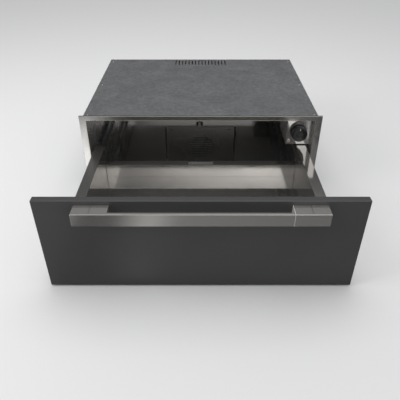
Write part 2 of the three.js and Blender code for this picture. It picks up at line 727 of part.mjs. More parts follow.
// ---- control housing ----
function addControls(group) {
  const back = fasciaBack + gap;
  const width = [controlLeft, controlRight];
  const height = [controlBottom, controlTop];
  const inset = ([low, high]) => [low + controlSheet, high - controlSheet];
  const rear = back + controlDepth;
  const cable = barAlongY(controlCableRadius, [knobX, knobZ], [rear - 2 * controlSheet, rear + past]);
  const hollow = block(inset(width), [back - past, rear - controlSheet], inset(height));
  const shell = cut(block(width, [back, rear], height), [hollow, cable]);
  addPiece(group, 'control_housing', shell, 'polishedSteel');

  const bore = [controlRecess - past, fasciaBack + past];
  const holes = [
    barAlongY(bushRadius + gap, [knobX, knobZ], bore),
    barAlongY(lampStem + gap, [lampX, lampZ], bore, boreSides),
  ];
  const fascia = cut(block(width, [controlRecess, fasciaBack], height), holes);
  addPiece(group, 'control_fascia', fascia, 'polishedSteel');

  const bodyEnd = back + thermostatDepth;
  const bushFront = controlRecess - bushLength;
  const body = join([
    block(around(0, thermostatSize), [back, bodyEnd], around(0, thermostatSize)),
    barAlongY(bushRadius, [0, 0], [bushFront, back + past]),
    ...spread(2, 2 * tabOffset).map((offset) => block(
      around(offset, tabWidth), [bodyEnd - past, bodyEnd + tabLength], around(0, tabThickness))),
  ]);
  const spindleRoom = [bushFront - past, controlRecess + spindleLength - spindleGrip];
  const spindleHole = barAlongY(spindleRadius + gap, [0, 0], spindleRoom, boreSides);
  const thermostat = addPiece(group, 'thermostat', cut(body, [spindleHole]), 'blackPlastic');
  thermostat.position.set(knobX, 0, knobZ);

  const nutRange = [controlRecess - gap - bushNutThickness, controlRecess - gap];
  const nut = hexNut(bushNutRadius, bushRadius + gap, nutRange);
  addPiece(group, 'thermostat_nut', nut, 'zincSteel').position.copy(thermostat.position);

  const domeRoot = controlRecess - gap;
  const domeBase = domeRoot - lampCollar;
  const stemEnd = fasciaBack + lampStemReach;
  const dome = lampFacets.map(([across, high]) => [lampRadius * across, domeBase - lampDome * high]);
  const lens = turned([[0, domeBase - lampDome], ...dome, [lampRadius, domeBase], [lampRadius, domeRoot],
    [lampStem, domeRoot], [lampStem, stemEnd], [0, stemEnd]], boreSides);
  addPiece(group, 'pilot_lamp_lens', lens, 'amberLens').position.set(lampX, 0, lampZ);
  const holderInner = lampStem + gap;
  const holderOuter = holderInner + lampHolderWall;
  const holderEnd = back + lampHolderLength;
  const holder = turned([[0, holderEnd - lampHolderWall], [holderInner, holderEnd - lampHolderWall],
    [holderInner, back], [holderOuter, back], [holderOuter, holderEnd], [0, holderEnd]], boreSides);
  addPiece(group, 'pilot_lamp_holder', holder, 'palePlastic').position.set(lampX, 0, lampZ);
}

// ---- knob, in its own turning group ----
function addKnob(group) {
  const foot = -knobClearance;
  const front = foot - knobLength;
  const skirtTop = foot - skirtHeight;
  const grooveTop = skirtTop - grooveHeight;
  const face = front + knobDish;
  const innerFront = front + knobWall;
  const boreEnd = front + knobWall + past - gap;
  const bossEnd = -bushLength - bushNutThickness;
  const profile = [
    [0, face], [knobDishRadius, face], [knobDishRadius + knobDish, front], [knobFaceRadius, front],
    [knobShoulderRadius, front + knobShoulder], [knobShoulderRadius, grooveTop], [grooveRadius, grooveTop],
    [grooveRadius, skirtTop], [knobRadius, skirtTop], [knobRadius, foot],
    [knobRadius - knobWall, foot], [grooveRadius - knobWall, innerFront], [bossRadius, innerFront],
    [bossRadius, bossEnd], [spindleRadius + gap, bossEnd], [spindleRadius + gap, boreEnd], [0, boreEnd],
  ];
  const pointer = block(around(0, pointerWidth), [front - pointerRise, face], [pointerInset, pointerOuter]);
  addPiece(group, 'control_knob', join([turned(profile, fineSides), pointer]), 'blackPlastic');
  const spindleFront = boreEnd + gap;
  const spindle = barAlongY(spindleRadius, [0, 0], [spindleFront, spindleFront + spindleLength], boreSides);
  addPiece(group, 'thermostat_shaft', spindle, 'zincSteel');
}

// ---- fan, in its own turning group ----
function addFan(group) {
  const bore = shaftRadius + gap;
  const bladeReach = [impellerInner, impellerRadius - impellerSheet];
  const blade = block(around(0, impellerSheet), [impellerFront, impellerBack], bladeReach)
    .rotateY(THREE.MathUtils.degToRad(bladeTilt));
  const blades = Array.from({ length: bladeCount }, (_, index) =>
    blade.clone().rotateY((index * 2 * Math.PI) / bladeCount));
  const disc = barAlongY(impellerRadius, [0, 0], [impellerBack - impellerSheet, impellerBack], fineSides);
  const hub = barAlongY(impellerHubRadius, [0, 0], [impellerFront, impellerBack]);
  const hole = barAlongY(bore, [0, 0], [impellerFront - past, impellerBack + past], boreSides);
  addPiece(group, 'fan_impeller', cut(join([disc, hub, ...blades]), [hole]), 'aluminium');

  const shaftFront = impellerFront - shaftNose;
  const shaft = turned([[0, shaftFront], [shaftRadius, shaftFront], [shaftRadius, stackFront],
    [rotorRadius, stackFront], [rotorRadius, stackRear], [shaftRadius, stackRear],
    [shaftRadius, shaftEnd], [0, shaftEnd]]);
  addPiece(group, 'motor_shaft', shaft, 'zincSteel');
  const nut = hexNut(nutRadius, bore, [impellerFront - gap - nutThickness, impellerFront - gap]);
  addPiece(group, 'impeller_nut', nut, 'zincSteel');
}

// ---- slides ----
// A channel section: a web at one side and two lips that reach towards the other.
function channelSection(web, lip, halfHeight) {
  const inside = web + Math.sign(lip - web) * slideSheet;
  const top = slideMiddle + halfHeight;
  const bottom = slideMiddle - halfHeight;
  return [[lip, top], [web, top], [web, bottom], [lip, bottom], [lip, bottom + slideSheet],
    [inside, bottom + slideSheet], [inside, top - slideSheet], [lip, top - slideSheet]];
}

const slideStep = slideSheet + raceGap;
const slideSections = {
  outer: channelSection(mouthHalf - gap, mouthHalf - gap - lipReach, slideHeight / 2),
  middle: channelSection(
    mouthHalf - midStandoff, mouthHalf - gap - lipReach, slideHeight / 2 - slideStep),
  inner: channelSection(
    drawerOuter + gap, drawerOuter + gap + innerReach, slideHeight / 2 - 2 * slideStep),
};

// A slide member for each side; the closed drawer's front end of it lies at the given depth.
function addSlideMembers(group, member, front) {
  for (const [name, side] of Object.entries(sides)) {
    const section = outline(mirrored(slideSections[member], side));
    const bar = extrude(section, 'y', [front, front + slideLength]);
    addPiece(group, `slide_${member}_${name}`, bar, 'slideSteel');
  }
}

// ---- pan, in the drawer's group ----
function addPan(group) {
  const across = [-panHalf, panHalf];
  const inside = [panFront, drawerRear - gap];
  addPiece(group, 'drawer_floor', block(across, inside, [panUnderside, panFloor]), 'polishedSteel');

  for (const [name, side] of Object.entries(sides)) {
    const section = foldedSection([[panInner, panUnderside], [panInner, wallTop], [drawerOuter, wallTop],
      [drawerOuter, wallTop - outerSkirt]], railSheet);
    const rail = extrude(outline(mirrored(section, side)), 'y', [panFront, drawerRear]);
    addPiece(group, `side_channel_${name}`, rail, 'polishedSteel');
  }

  const foot = panFloor + gap;
  const backTop = panFloor + backHeight;
  const backFace = drawerRear - backRail;
  const backSection = foldedSection(
    [[backFace, foot], [backFace, backTop], [drawerRear, backTop], [drawerRear, foot]], drawerSheet);
  const notchHalf = notchWidth / 2;
  const notchTopHalf = notchHalf + notchFlare;
  const notch = outline([[-notchTopHalf, backTop + past], [-notchHalf, backTop - notchDepth],
    [notchHalf, backTop - notchDepth], [notchTopHalf, backTop + past]]);
  const notchCut = extrude(notch, 'y', [backFace + drawerSheet, drawerRear + past]);
  const backBar = extrude(outline(backSection), 'x', across);
  addPiece(group, 'drawer_back', cut(backBar, [notchCut]), 'polishedSteel');

  const frontSection = foldedSection(
    [[panFront, foot], [panFront, wallTop], [panFront + frontLip, wallTop]], drawerSheet);
  addPiece(group, 'drawer_front', extrude(outline(frontSection), 'x', across), 'polishedSteel');
}

// ---- panel, carrier and handle, in the drawer's group ----
const handleScrewPlaces = Object.fromEntries(
  Object.entries(sides).map(([name, side]) => [name, [side * handleScrewX, handleMiddle]]));

function addPanel(group) {
  const bevel = {
    bevelEnabled: true,
    bevelSegments: 1,
    bevelSize: panelBevel,
    bevelThickness: panelBevel,
    bevelOffset: -panelBevel,
  };
  const face = rectangle(around(0, panelWidth), [panelSill, panelTop]);
  const board = extrude(face, 'y', [panelFront + panelBevel, panelRear - panelBevel], bevel);
  const drill = (radius, range) => Object.values(handleScrewPlaces).map((place) =>
    barAlongY(radius, place, range, boreSides));
  const drills = drill(handleScrewRadius + gap, [panelFront - past, panelRear + past]);
  addPiece(group, 'decor_panel', cut(board, drills), 'darkLacquer');

  const across = around(0, panelWidth - 2 * carrierInset);
  const plate = block(across, [panelRear + gap, carrierRear], [carrierBottom, carrierTop]);
  const headHoles = drill(handleScrewHead + handleScrewRoom, [panelRear - past, carrierRear + past]);
  addPiece(group, 'panel_carrier', cut(plate, headHoles), 'zincSteel');
}

// The handle's section across x: a bar's depth and height with small chamfers at its front.
function handleSection(depth) {
  const top = handleTop;
  const bottom = handleTop - handleHeight;
  const shoulder = handleFront + handleChamfer;
  const back = handleFront + depth;
  return outline([[back, bottom], [shoulder, bottom], [handleFront, bottom + handleChamfer],
    [handleFront, top - handleChamfer], [shoulder, top], [back, top]]);
}

function addHandle(group) {
  const half = handleWidth / 2;
  const barEnd = handleEndInner - gap;
  const tongueFront = handleFront + handleWall + gap;
  const tongueBack = tongueFront + tongueDepth;
  const tongueRise = around(handleMiddle, handleHeight - 2 * tongueInset);
  const tongueEnd = barEnd + tongueLength;
  const bar = join([
    extrude(handleSection(handleBarDepth), 'x', [-barEnd, barEnd]),
    block([-tongueEnd, tongueEnd], [tongueFront, tongueBack], tongueRise),
  ]);
  addPiece(group, 'handle_bar', bar, 'satinSteel');

  for (const [name, side] of Object.entries(sides)) {
    const [low, high] = [side * handleEndInner, side * half].sort((a, b) => a - b);
    const outer = extrude(handleSection(handleReach - gap), 'x', [low, high]);
    const hollow = block([low + handleWall, high - handleWall], [handleFront + handleWall, panelFront + past],
      around(handleMiddle, handleHeight - 2 * handleWall));
    const mouth = block(around(side * handleEndInner, 2 * (handleWall + past)),
      [tongueFront - gap, tongueBack + gap], [tongueRise[0] - gap, tongueRise[1] + gap]);
    const place = handleScrewPlaces[name];
    const bossRange = [handleFront + handleWall / 2, panelFront - gap];
    const boss = barAlongY(handleBossRadius, place, bossRange, boreSides);
    const boreRange = [panelFront - handleScrewBite - past, panelFront + past];
    const bore = barAlongY(handleScrewRadius + gap, place, boreRange, boreSides);
    const end = cut(join([cut(outer, [hollow, mouth]), boss]), [bore]);
    addPiece(group, `handle_end_${name}`, end, 'satinSteel');

    const shank = panelThickness + handleScrewBite;
    const handleScrew = screw(handleScrewRadius, shank, handleScrewHead);
    const screwPiece = addPiece(group, `handle_screw_${name}`, handleScrew, 'zincSteel');
    screwPiece.position.set(place[0], panelRear + gap, place[1]);
  }
}

// ---- assembly ----
const warmingDrawer = new THREE.Group();
warmingDrawer.position.y = -casingDepth / 2;

function addGroup(x, y, z) {
  const group = new THREE.Group();
  group.position.set(x, y, z);
  warmingDrawer.add(group);
  return group;
}

const chassis = addGroup(0, 0, 0);
addCasing(chassis);
addFlange(chassis);
addLiner(chassis);
addInsulation(chassis);
addFanCover(chassis);
addHeater(chassis);
addMotor(chassis);
addProbe(chassis);
addMainsEntry(chassis);
addControls(chassis);
addSlideMembers(chassis, 'outer', slideFront);

addKnob(addGroup(knobX, controlRecess, knobZ));
addFan(addGroup(0, 0, fanHeight));

// The middle members have gone half as far as the drawer.
const halfOut = addGroup(0, -drawerTravel / 2, 0);
addSlideMembers(halfOut, 'middle', slideFront);

const drawer = addGroup(0, -drawerTravel, 0);
addSlideMembers(drawer, 'inner', 0);
addPan(drawer);
addPanel(drawer);
addHandle(drawer);

export default warmingDrawer;
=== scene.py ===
# %% [markdown]
# # A built-in warming drawer
# A warming drawer stands in a kitchen column under an oven. A lacquered panel with a bar handle hides it
# when it is shut, and a fan at the back blows warm air over the plates in its steel pan. Here it is pulled
# out to its stop. The solids come ready made, each in its own node, and they move on real joints. This
# lesson dresses them: it gives each one its finish, and makes the pieces whose edges catch the light.

# %% Load the solids
import math
from contextlib import contextmanager

import bmesh
import bpy
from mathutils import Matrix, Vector


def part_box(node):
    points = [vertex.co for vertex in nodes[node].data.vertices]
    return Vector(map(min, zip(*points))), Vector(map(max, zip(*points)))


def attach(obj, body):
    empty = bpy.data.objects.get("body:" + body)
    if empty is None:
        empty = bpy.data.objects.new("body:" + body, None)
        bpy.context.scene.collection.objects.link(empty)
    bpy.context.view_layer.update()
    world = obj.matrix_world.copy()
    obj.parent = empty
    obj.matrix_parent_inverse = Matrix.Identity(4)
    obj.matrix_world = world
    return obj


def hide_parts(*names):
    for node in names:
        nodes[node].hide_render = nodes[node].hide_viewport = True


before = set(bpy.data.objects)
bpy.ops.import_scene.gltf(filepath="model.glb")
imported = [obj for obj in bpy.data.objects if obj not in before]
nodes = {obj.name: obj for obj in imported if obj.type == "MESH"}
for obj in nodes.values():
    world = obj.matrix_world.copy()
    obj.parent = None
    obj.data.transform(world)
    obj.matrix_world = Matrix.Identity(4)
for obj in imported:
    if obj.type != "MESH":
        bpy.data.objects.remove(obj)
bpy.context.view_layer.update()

# %% [markdown]
# ## Camera
# The drawer is seen from just in front of it and from above, 35 degrees down, so that both the pan and the
# dark cavity behind it show. A lens of 40 mm on a 36 mm sensor gives the strong perspective of a near view.

# %% Camera
camera_place = (-0.002, -1.5422, 0.8325)
camera_tilt = math.radians(54.95)  # up from straight down
lens_length, sensor_width = 40.4, 36  # millimetres

camera = bpy.data.objects.new("camera", bpy.data.cameras.new("camera"))
bpy.context.scene.collection.objects.link(camera)
camera.location = camera_place
camera.rotation_euler = (camera_tilt, 0, 0)
camera.data.sensor_width = sensor_width
camera.data.lens = lens_length
bpy.context.scene.camera = camera
bpy.context.scene.view_settings.view_transform = "Standard"
print("camera at", camera_place)

# %% [markdown]
# ## Helpers for shader nodes
# Every finish below is a small network of nodes. One helper adds a node, sets its options and fills its
# sockets, with a plain value or with a link from another node. The others wrap what returns most: ramps,
# ranges, mixes, arithmetic and the place of a point on its piece.


# %% Node helpers
def node(tree, kind, inputs=None, **options):
    """Adds a shader node and fills its sockets with values or links."""
    made = tree.nodes.new("ShaderNode" + kind)
    for option, value in options.items():
        setattr(made, option, value)
    for socket, value in (inputs or {}).items():
        if isinstance(value, bpy.types.NodeSocket):
            tree.links.new(value, made.inputs[socket])
        else:
            made.inputs[socket].default_value = value
    return made


def ramp(tree, factor, stops):
    """A colour ramp from (position, colour) pairs."""
    made = node(tree, "ValToRGB", {"Fac": factor})
    elements = made.color_ramp.elements
    while len(elements) < len(stops):
        elements.new(0.5)
    for element, (position, colour) in zip(elements, stops):
        element.position = position
        element.color = (*colour, 1)
    return made.outputs["Color"]


def grey(brightness):
    return (brightness, brightness, brightness)


def shades(tree, factor, *stops):
    """A ramp of greys from (position, brightness) pairs."""
    return ramp(tree, factor, [(position, grey(brightness)) for position, brightness in stops])


def fade(tree, value, start, end, first=0.0, last=1.0, **options):
    """Goes from first to last while a value goes from start to end, and holds still outside them."""
    inputs = {"Value": value, "From Min": start, "From Max": end, "To Min": first, "To Max": last}
    return node(tree, "MapRange", inputs, **options).outputs[0]


def mix(tree, share, first, second, **options):
    """The first colour where the share is 0, and the second where it is 1."""
    return node(tree, "Mix", {0: share, 6: first, 7: second}, data_type="RGBA", **options).outputs[2]


def reckon(tree, operation, *values):
    """One step of arithmetic."""
    return node(tree, "Math", dict(enumerate(values)), operation=operation).outputs[0]


def object_place(tree):
    """Where a point lies on its piece, as X, Y and Z in metres."""
    return node(tree, "SeparateXYZ", {0: node(tree, "TexCoord").outputs["Object"]}).outputs


print("node helpers ready")

# %% [markdown]
# ## Floor
# A plain pale floor and soft light leave the piece alone in the picture. Polished steel has no colour of its
# own, though: it shows the room. So what the steel mirrors is set apart from the light that falls on it, by
# the Light Path node. The camera meets a pale diffuse floor, and a mirrored ray meets a floor with tones of
# its own. They are soft gradients, since brushed steel blurs what it shows.
#
# The mirrored floor has three bands, each a ramp from left to right: beside the casing, beside the drawer's
# front end, and in front of the panel. A lit strip at the far left brightens the frame's left side, a pale
# patch in front shows in the handle, and a slanting gleam at the right shows in the frame's right side.


# %% Floor
def mirror_apart(tree, shown, mirrored, output):
    """Puts out one shader for mirrored rays and another for all the rest."""
    mirrored_ray = node(tree, "LightPath").outputs["Is Glossy Ray"]
    both = node(tree, "MixShader", {0: mirrored_ray, 1: shown.outputs[0], 2: mirrored.outputs[0]})
    node(tree, output, {"Surface": both.outputs[0]})


floor_size = 14
floor_drop = 0.0005  # under the casing
floor_tone = 0.78

bpy.ops.object.select_all(action="DESELECT")
bpy.ops.mesh.primitive_plane_add(size=floor_size, location=(0, 0, -floor_drop))
floor = bpy.context.object
floor.name = "floor"
print("floor", floor_size, "m square")

# %% What the steel mirrors of the floor
toned_half = 0.5  # the ramps reach this far to each side of the middle
casing_border, panel_border = (-0.63, -0.57), (-0.75, -0.78)  # where one band fades into the next, in Y
gleam_slant, gleam_range, gleam_tone = 0.233, (0.27, 0.32), 1.6

floor_finish = bpy.data.materials.new("pale floor")
floor_finish.use_nodes = True
tree = floor_finish.node_tree
tree.nodes.clear()
place = object_place(tree)
across = fade(tree, place["X"], -toned_half, toned_half)
beside_casing = shades(tree, across, (0, 0.75), (0.01, 1.55), (0.1, 1.55), (0.12, 0.16), (0.86, 0.12),
                       (0.89, 0.16))
beside_front = shades(tree, across, (0, 0.75), (0.01, 1.55), (0.044, 1.55), (0.056, 0.24), (0.095, 0.08),
                      (0.125, 0.2), (0.145, 0.05), (0.86, 0.07), (0.89, 0.01))
before_panel = shades(tree, across, (0, 0.42), (0.03, 0.24), (0.095, 0.26), (0.12, 0.03), (0.24, 0.07),
                      (0.34, 0.48), (0.43, 0.19), (0.88, 0.13))

slanted = reckon(tree, "MULTIPLY_ADD", place["Y"], gleam_slant, place["X"])
gleam = shades(tree, fade(tree, slanted, *gleam_range), (0.4, 0), (0.46, 1), (0.52, 1), (0.58, 0))
gleaming = mix(tree, gleam, beside_front, (*grey(gleam_tone), 1))
beside = mix(tree, fade(tree, place["Y"], *casing_border), gleaming, beside_casing)
mirrored_floor = mix(tree, fade(tree, place["Y"], *panel_border), beside, before_panel)

mirror_apart(tree, node(tree, "BsdfDiffuse", {"Color": (*grey(floor_tone), 1)}),
             node(tree, "Emission", {"Color": mirrored_floor}), "OutputMaterial")
floor.data.materials.append(floor_finish)
print(floor_finish.name, "with three mirrored bands")

# %% [markdown]
# ## Surroundings
# The surroundings are set apart in the same way. Plain rays find an even soft light. Mirrored rays find a
# room whose tones hang on their direction: a dim wall behind the appliance, in front of it a room that is
# dark at the left and bright at the right, and over all a pale ceiling. The pan's floor and back wall mirror
# that room together, which is why they grow lighter to the right. Higher up, the room is dimmed.

# %% Surroundings
soft_colour, soft_strength, mirrored_strength = (0.985, 0.99, 1, 1), 0.62, 2

world = bpy.data.worlds.new("studio")
bpy.context.scene.world = world
world.use_nodes = True
tree = world.node_tree
tree.nodes.clear()
way = node(tree, "SeparateXYZ", {0: node(tree, "TexCoord").outputs["Generated"]}).outputs
sideways = fade(tree, way["X"], -0.25, 0.25)
upwards = fade(tree, way["Z"], 0.4, 0.7)
forwards = fade(tree, way["Y"], 0.15, -0.25)

high_room = shades(tree, sideways, (0.03, 0.06), (0.05, 0.12), (0.08, 0.36), (0.17, 0.19), (0.27, 0.27),
                   (0.5, 0.62), (0.7, 0.8), (0.8, 0.86), (0.84, 0.8), (0.9, 0.52))
low_room = shades(tree, sideways, (0.03, 0.06), (0.2, 0.08), (0.32, 0.22), (0.72, 0.26), (0.84, 0.8),
                  (0.93, 0.95), (1, 0.5))
room = mix(tree, shades(tree, upwards, (0.1, 0), (0.22, 1)), low_room, high_room)
dimming = shades(tree, upwards, (0.38, 1), (0.52, 0.42))
dimmed_room = mix(tree, 1.0, room, dimming, blend_type="MULTIPLY")
topped_room = mix(tree, shades(tree, upwards, (0.58, 0), (0.75, 1)), dimmed_room, (*grey(0.75), 1))
wall_behind = shades(tree, upwards, (0.3, 0.03), (0.45, 0.05), (0.56, 0.11), (0.62, 0.12))
walls = mix(tree, forwards, wall_behind, topped_room)
ceiling = mix(tree, forwards, (*grey(0.4), 1), (*grey(0.75), 1))
to_ceiling = fade(tree, way["Z"], 0.66, 0.9, interpolation_type="SMOOTHSTEP")
mirrored_room = mix(tree, to_ceiling, walls, ceiling)

mirror_apart(tree, node(tree, "Background", {"Color": soft_colour, "Strength": soft_strength}),
             node(tree, "Background", {"Color": mirrored_room, "Strength": mirrored_strength}), "OutputWorld")
print("surroundings set")

# %% [markdown]
# ## Lamps
# Two large square lamps give the soft shadows, one overhead and one high at the left. They are hidden from
# mirrored rays, so that no square of light stands in the steel.


# %% Lamps
def softbox(name, place, target, size, power):
    """A square soft lamp at a place, turned to its target."""
    data = bpy.data.lights.new(name, "AREA")
    data.size = size
    data.energy = power
    lamp = bpy.data.objects.new(name, data)
    lamp.location = place
    lamp.rotation_euler = (Vector(target) - Vector(place)).to_track_quat("-Z", "Y").to_euler()
    lamp.visible_glossy = False
    bpy.context.scene.collection.objects.link(lamp)


softbox("overhead", place=(0, -0.2, 2.6), target=(0, -0.2, 0), size=2.0, power=26)
softbox("window", place=(-2.4, -1.2, 1.7), target=(0, -0.3, 0.1), size=1.4, power=24)
print("two softboxes")

# %% [markdown]
# ## Effects that several finishes share
# Sheet steel, zinc and moulded plastic each have a texture that returns on many pieces, so each texture is a
# node group with its own inputs. A group only puts out masks and heights. They read Object coordinates,
# which keep their scale on every piece, however large it is.


# %% Group helpers
def new_group(name, inputs, outputs):
    """A shader node group with float or vector inputs and float outputs."""
    group = bpy.data.node_groups.new(name, "ShaderNodeTree")
    for label, value in inputs.items():
        kind = "NodeSocketVector" if isinstance(value, tuple) else "NodeSocketFloat"
        group.interface.new_socket(label, in_out="INPUT", socket_type=kind).default_value = value
    for label in outputs:
        group.interface.new_socket(label, in_out="OUTPUT", socket_type="NodeSocketFloat")
    points = node(group, "TexCoord").outputs["Object"]
    return group, points, group.nodes.new("NodeGroupInput").outputs


def put_out(group, **results):
    """Leads the results to the group's outputs."""
    out = group.nodes.new("NodeGroupOutput")
    for label, result in results.items():
        group.links.new(result, out.inputs[label])
    print(group.name)


def place_group(tree, group, **inputs):
    """Adds a group to a material and gives it this material's own values."""
    made = node(tree, "Group", node_tree=group)
    for label, value in inputs.items():
        made.inputs[label].default_value = value
    return made.outputs


# %% [markdown]
# ### Brushed grain
# Rolled sheet and ground bars have long fine lines. Noise makes them when its space is squeezed, and they
# run along the axis that is squeezed least.

# %% Brushed grain
grain, points, given = new_group("brushed grain", {"Squeeze": (12.0, 900.0, 900.0)}, ["Height", "Tone"])
squeezed = node(grain, "VectorMath", {0: points, 1: given["Squeeze"]}, operation="MULTIPLY")
lines = node(grain, "TexNoise", {"Vector": squeezed.outputs[0], "Scale": 1, "Detail": 3, "Roughness": 0.7})
put_out(grain, Height=lines.outputs["Fac"], Tone=fade(grain, lines.outputs["Fac"], 0.3, 0.7))

# %% [markdown]
# ### Wiping marks
# Everything in a kitchen is wiped, and no gloss stays even. Broad clouds of noise, slightly twisted, move
# the roughness between a low and a high value.

# %% Wiping marks
wiping, points, given = new_group("wiping marks", {"Size": 9.0, "Low": 0.08, "High": 0.16}, ["Roughness"])
clouds = node(wiping, "TexNoise", {"Vector": points, "Scale": given["Size"], "Detail": 4, "Distortion": 0.6})
put_out(wiping, Roughness=fade(wiping, clouds.outputs["Fac"], 0.32, 0.68, given["Low"], given["High"]))

# %% [markdown]
# ### Zinc spangle
# Hot-dip zinc freezes in crystals a few millimetres wide, each of its own brightness. Voronoi cells look
# like them once a little noise has bent their straight borders.

# %% Zinc spangle
border_bend = (0.012, 0.012, 0.012)

spangle, points, given = new_group("zinc spangle", {"Scale": 140.0}, ["Tone", "Height"])
wander = node(spangle, "TexNoise", {"Vector": points, "Scale": 60})
bent = node(spangle, "VectorMath", {0: wander.outputs["Color"], 1: border_bend, 2: points},
            operation="MULTIPLY_ADD")
crystals = node(spangle, "TexVoronoi", {"Vector": bent.outputs[0], "Scale": given["Scale"]})
crystal_tone = node(spangle, "SeparateColor", {0: crystals.outputs["Color"]})
put_out(spangle, Tone=crystal_tone.outputs["Red"], Height=crystals.outputs["Distance"])

# %% [markdown]
# ### Moulded skin
# Plastic and lacquer have a fine even orange peel under a slow change of tone. One very fine noise makes the
# height, and one broad noise the tone.

# %% Moulded skin
skin, points, given = new_group("moulded skin", {"Scale": 900.0}, ["Height", "Tone"])
peel = node(skin, "TexNoise", {"Vector": points, "Scale": given["Scale"], "Detail": 2})
drift = node(skin, "TexNoise", {"Vector": points, "Scale": 7, "Detail": 3})
put_out(skin, Height=peel.outputs["Fac"], Tone=drift.outputs["Fac"])


# %% [markdown]
# ## Finishes
# A finish starts as a Principled shader. Its colours run between two near tones by a mask, its roughness
# comes from the wiping marks, and a Bump node turns a height into relief. Numbers that are the same all over
# the surface are set on the shader itself.

# %% Finish helpers
def start_finish(name, **constants):
    """A new material, its node tree and its shader, with the constants set on the shader's sockets."""
    finish = bpy.data.materials.new(name)
    finish.use_nodes = True
    shader = finish.node_tree.nodes["Principled BSDF"]
    for label, value in constants.items():
        shader.inputs[label.replace("_", " ")].default_value = value
    return finish, finish.node_tree, shader


def feed(shader, **results):
    """Leads results to the shader's sockets."""
    for label, result in results.items():
        shader.id_data.links.new(result, shader.inputs[label.replace("_", " ")])


def fed(shader, label):
    """What already leads to one of the shader's sockets."""
    return shader.inputs[label].links[0].from_socket


def colour(tree, shader, mask, dark, light):
    """Base colour that runs from dark to light by a mask."""
    feed(shader, Base_Color=ramp(tree, mask, [(0, dark), (1, light)]))


def wipe(tree, shader, size, roughness):
    """Roughness that drifts between two values."""
    low, high = roughness
    feed(shader, Roughness=place_group(tree, wiping, Size=size, Low=low, High=high)["Roughness"])


def relief(tree, shader, height, depth):
    """Relief of a real depth in metres."""
    bump = node(tree, "Bump", {"Strength": 1.0, "Distance": depth, "Height": height})
    feed(shader, Normal=bump.outputs[0])


def vary(finish, name):
    """A copy of a finish, ready to be changed in one place."""
    copy = finish.copy()
    copy.name = name
    return copy, copy.node_tree, copy.node_tree.nodes["Principled BSDF"]


print("finish helpers ready")


# %% [markdown]
# ### Sheet steel
# The pan, the cavity and the control box are polished stainless sheet: a mirror with faint wiping marks. The
# front frame and the fan cover are satin, with the mill's fine lines along them. Metal shows its colour in
# what it mirrors, so the tone is a warm grey and the roughness does the rest. A little haze, which is what
# fine scratches scatter, comes from a Metallic just under 1.

# %% Sheet steel
def steel(name, dark, light, squeeze, roughness, depth, size=9.0, haze=0.0):
    """Metal with brushing lines, wiping marks and two near tones."""
    finish, tree, shader = start_finish(name, Metallic=1 - haze)
    brushed = place_group(tree, grain, Squeeze=squeeze)
    colour(tree, shader, brushed["Tone"], dark, light)
    wipe(tree, shader, size, roughness)
    relief(tree, shader, brushed["Height"], depth)
    return finish


along_x, along_y, along_z = (14.0, 1200.0, 1200.0), (1200.0, 14.0, 1200.0), (1200.0, 1200.0, 14.0)
no_way = (300.0, 300.0, 300.0)

pan_steel = steel("polished pan steel", (0.56, 0.545, 0.525), (0.64, 0.625, 0.605), along_y,
                  roughness=(0.05, 0.11), depth=2e-6, haze=0.05)
cavity_steel = steel("polished cavity steel", (0.50, 0.492, 0.48), (0.56, 0.552, 0.54), along_y,
                     roughness=(0.04, 0.07), depth=2e-6, haze=0.14)
cavity_side_steel = steel("satin cavity side steel", (0.44, 0.432, 0.42), (0.50, 0.492, 0.48), along_y,
                          roughness=(0.24, 0.32), depth=4e-6, haze=0.3)
control_steel = steel("polished control steel", (0.60, 0.59, 0.57), (0.67, 0.655, 0.64), along_z,
                      roughness=(0.08, 0.13), depth=2e-6, haze=0.14)
frame_steel = steel("satin frame steel", (0.55, 0.54, 0.52), (0.66, 0.645, 0.62), along_x,
                    roughness=(0.16, 0.26), depth=5e-6, haze=0.03)
cover_steel = steel("satin cover steel", (0.30, 0.295, 0.285), (0.36, 0.352, 0.34), along_x,
                    roughness=(0.2, 0.3), depth=5e-6)
# the fan cover's screws are given a near black tone
dark_screw_steel = steel("dark screw steel", grey(0.05), grey(0.09), no_way,
                        roughness=(0.3, 0.4), depth=8e-6, size=60.0)
handle_steel = steel("satin handle steel", (0.63, 0.61, 0.585), (0.66, 0.64, 0.61), along_x,
                     roughness=(0.2, 0.215), depth=1e-6, haze=0.1)
print("steel finishes")

# %% [markdown]
# ### Dulled rail with painted shade
# The pan's left rail is rubbed down to a dull satin, while the wall below it keeps its mirror. A copy of the
# pan's finish grows rougher just at the rail's height, which is the Z of a point on the piece, and there its
# colour is painted darker as painted shade.

# %% Dulled rail with painted shade
rail_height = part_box("side_channel_left")[1].z
# the rail's roughness is wear; its darker tone is painted shade
rail_roughness, rail_painted_shade_tone = 0.28, (0.34, 0.335, 0.33, 1)
polish_end, satin_start = rail_height - 0.002, rail_height - 0.0003

rubbed_and_shaded_rail_steel, tree, shader = vary(pan_steel, "pan steel with a dulled rail and painted shade")
rubbed_and_shaded = fade(tree, object_place(tree)["Z"], polish_end, satin_start)
feed(shader, Roughness=fade(tree, rubbed_and_shaded, 0, 1, fed(shader, "Roughness"), rail_roughness),
     Base_Color=mix(tree, rubbed_and_shaded, fed(shader, "Base Color"), rail_painted_shade_tone))
print(rubbed_and_shaded_rail_steel.name)

# %% [markdown]
# ### Aluminised ceiling
# The cavity's ceiling is aluminised sheet. Its oxide skin scatters light like a dull light grey paint, and
# towards the fan, deeper in the cavity, its tone is painted darker as painted shade.

# %% Aluminised ceiling
shade_start, shade_end = -0.07, 0.02

ceiling_sheet, tree, shader = start_finish("aluminised ceiling")
dull = place_group(tree, grain, Squeeze=(400.0, 60.0, 400.0))
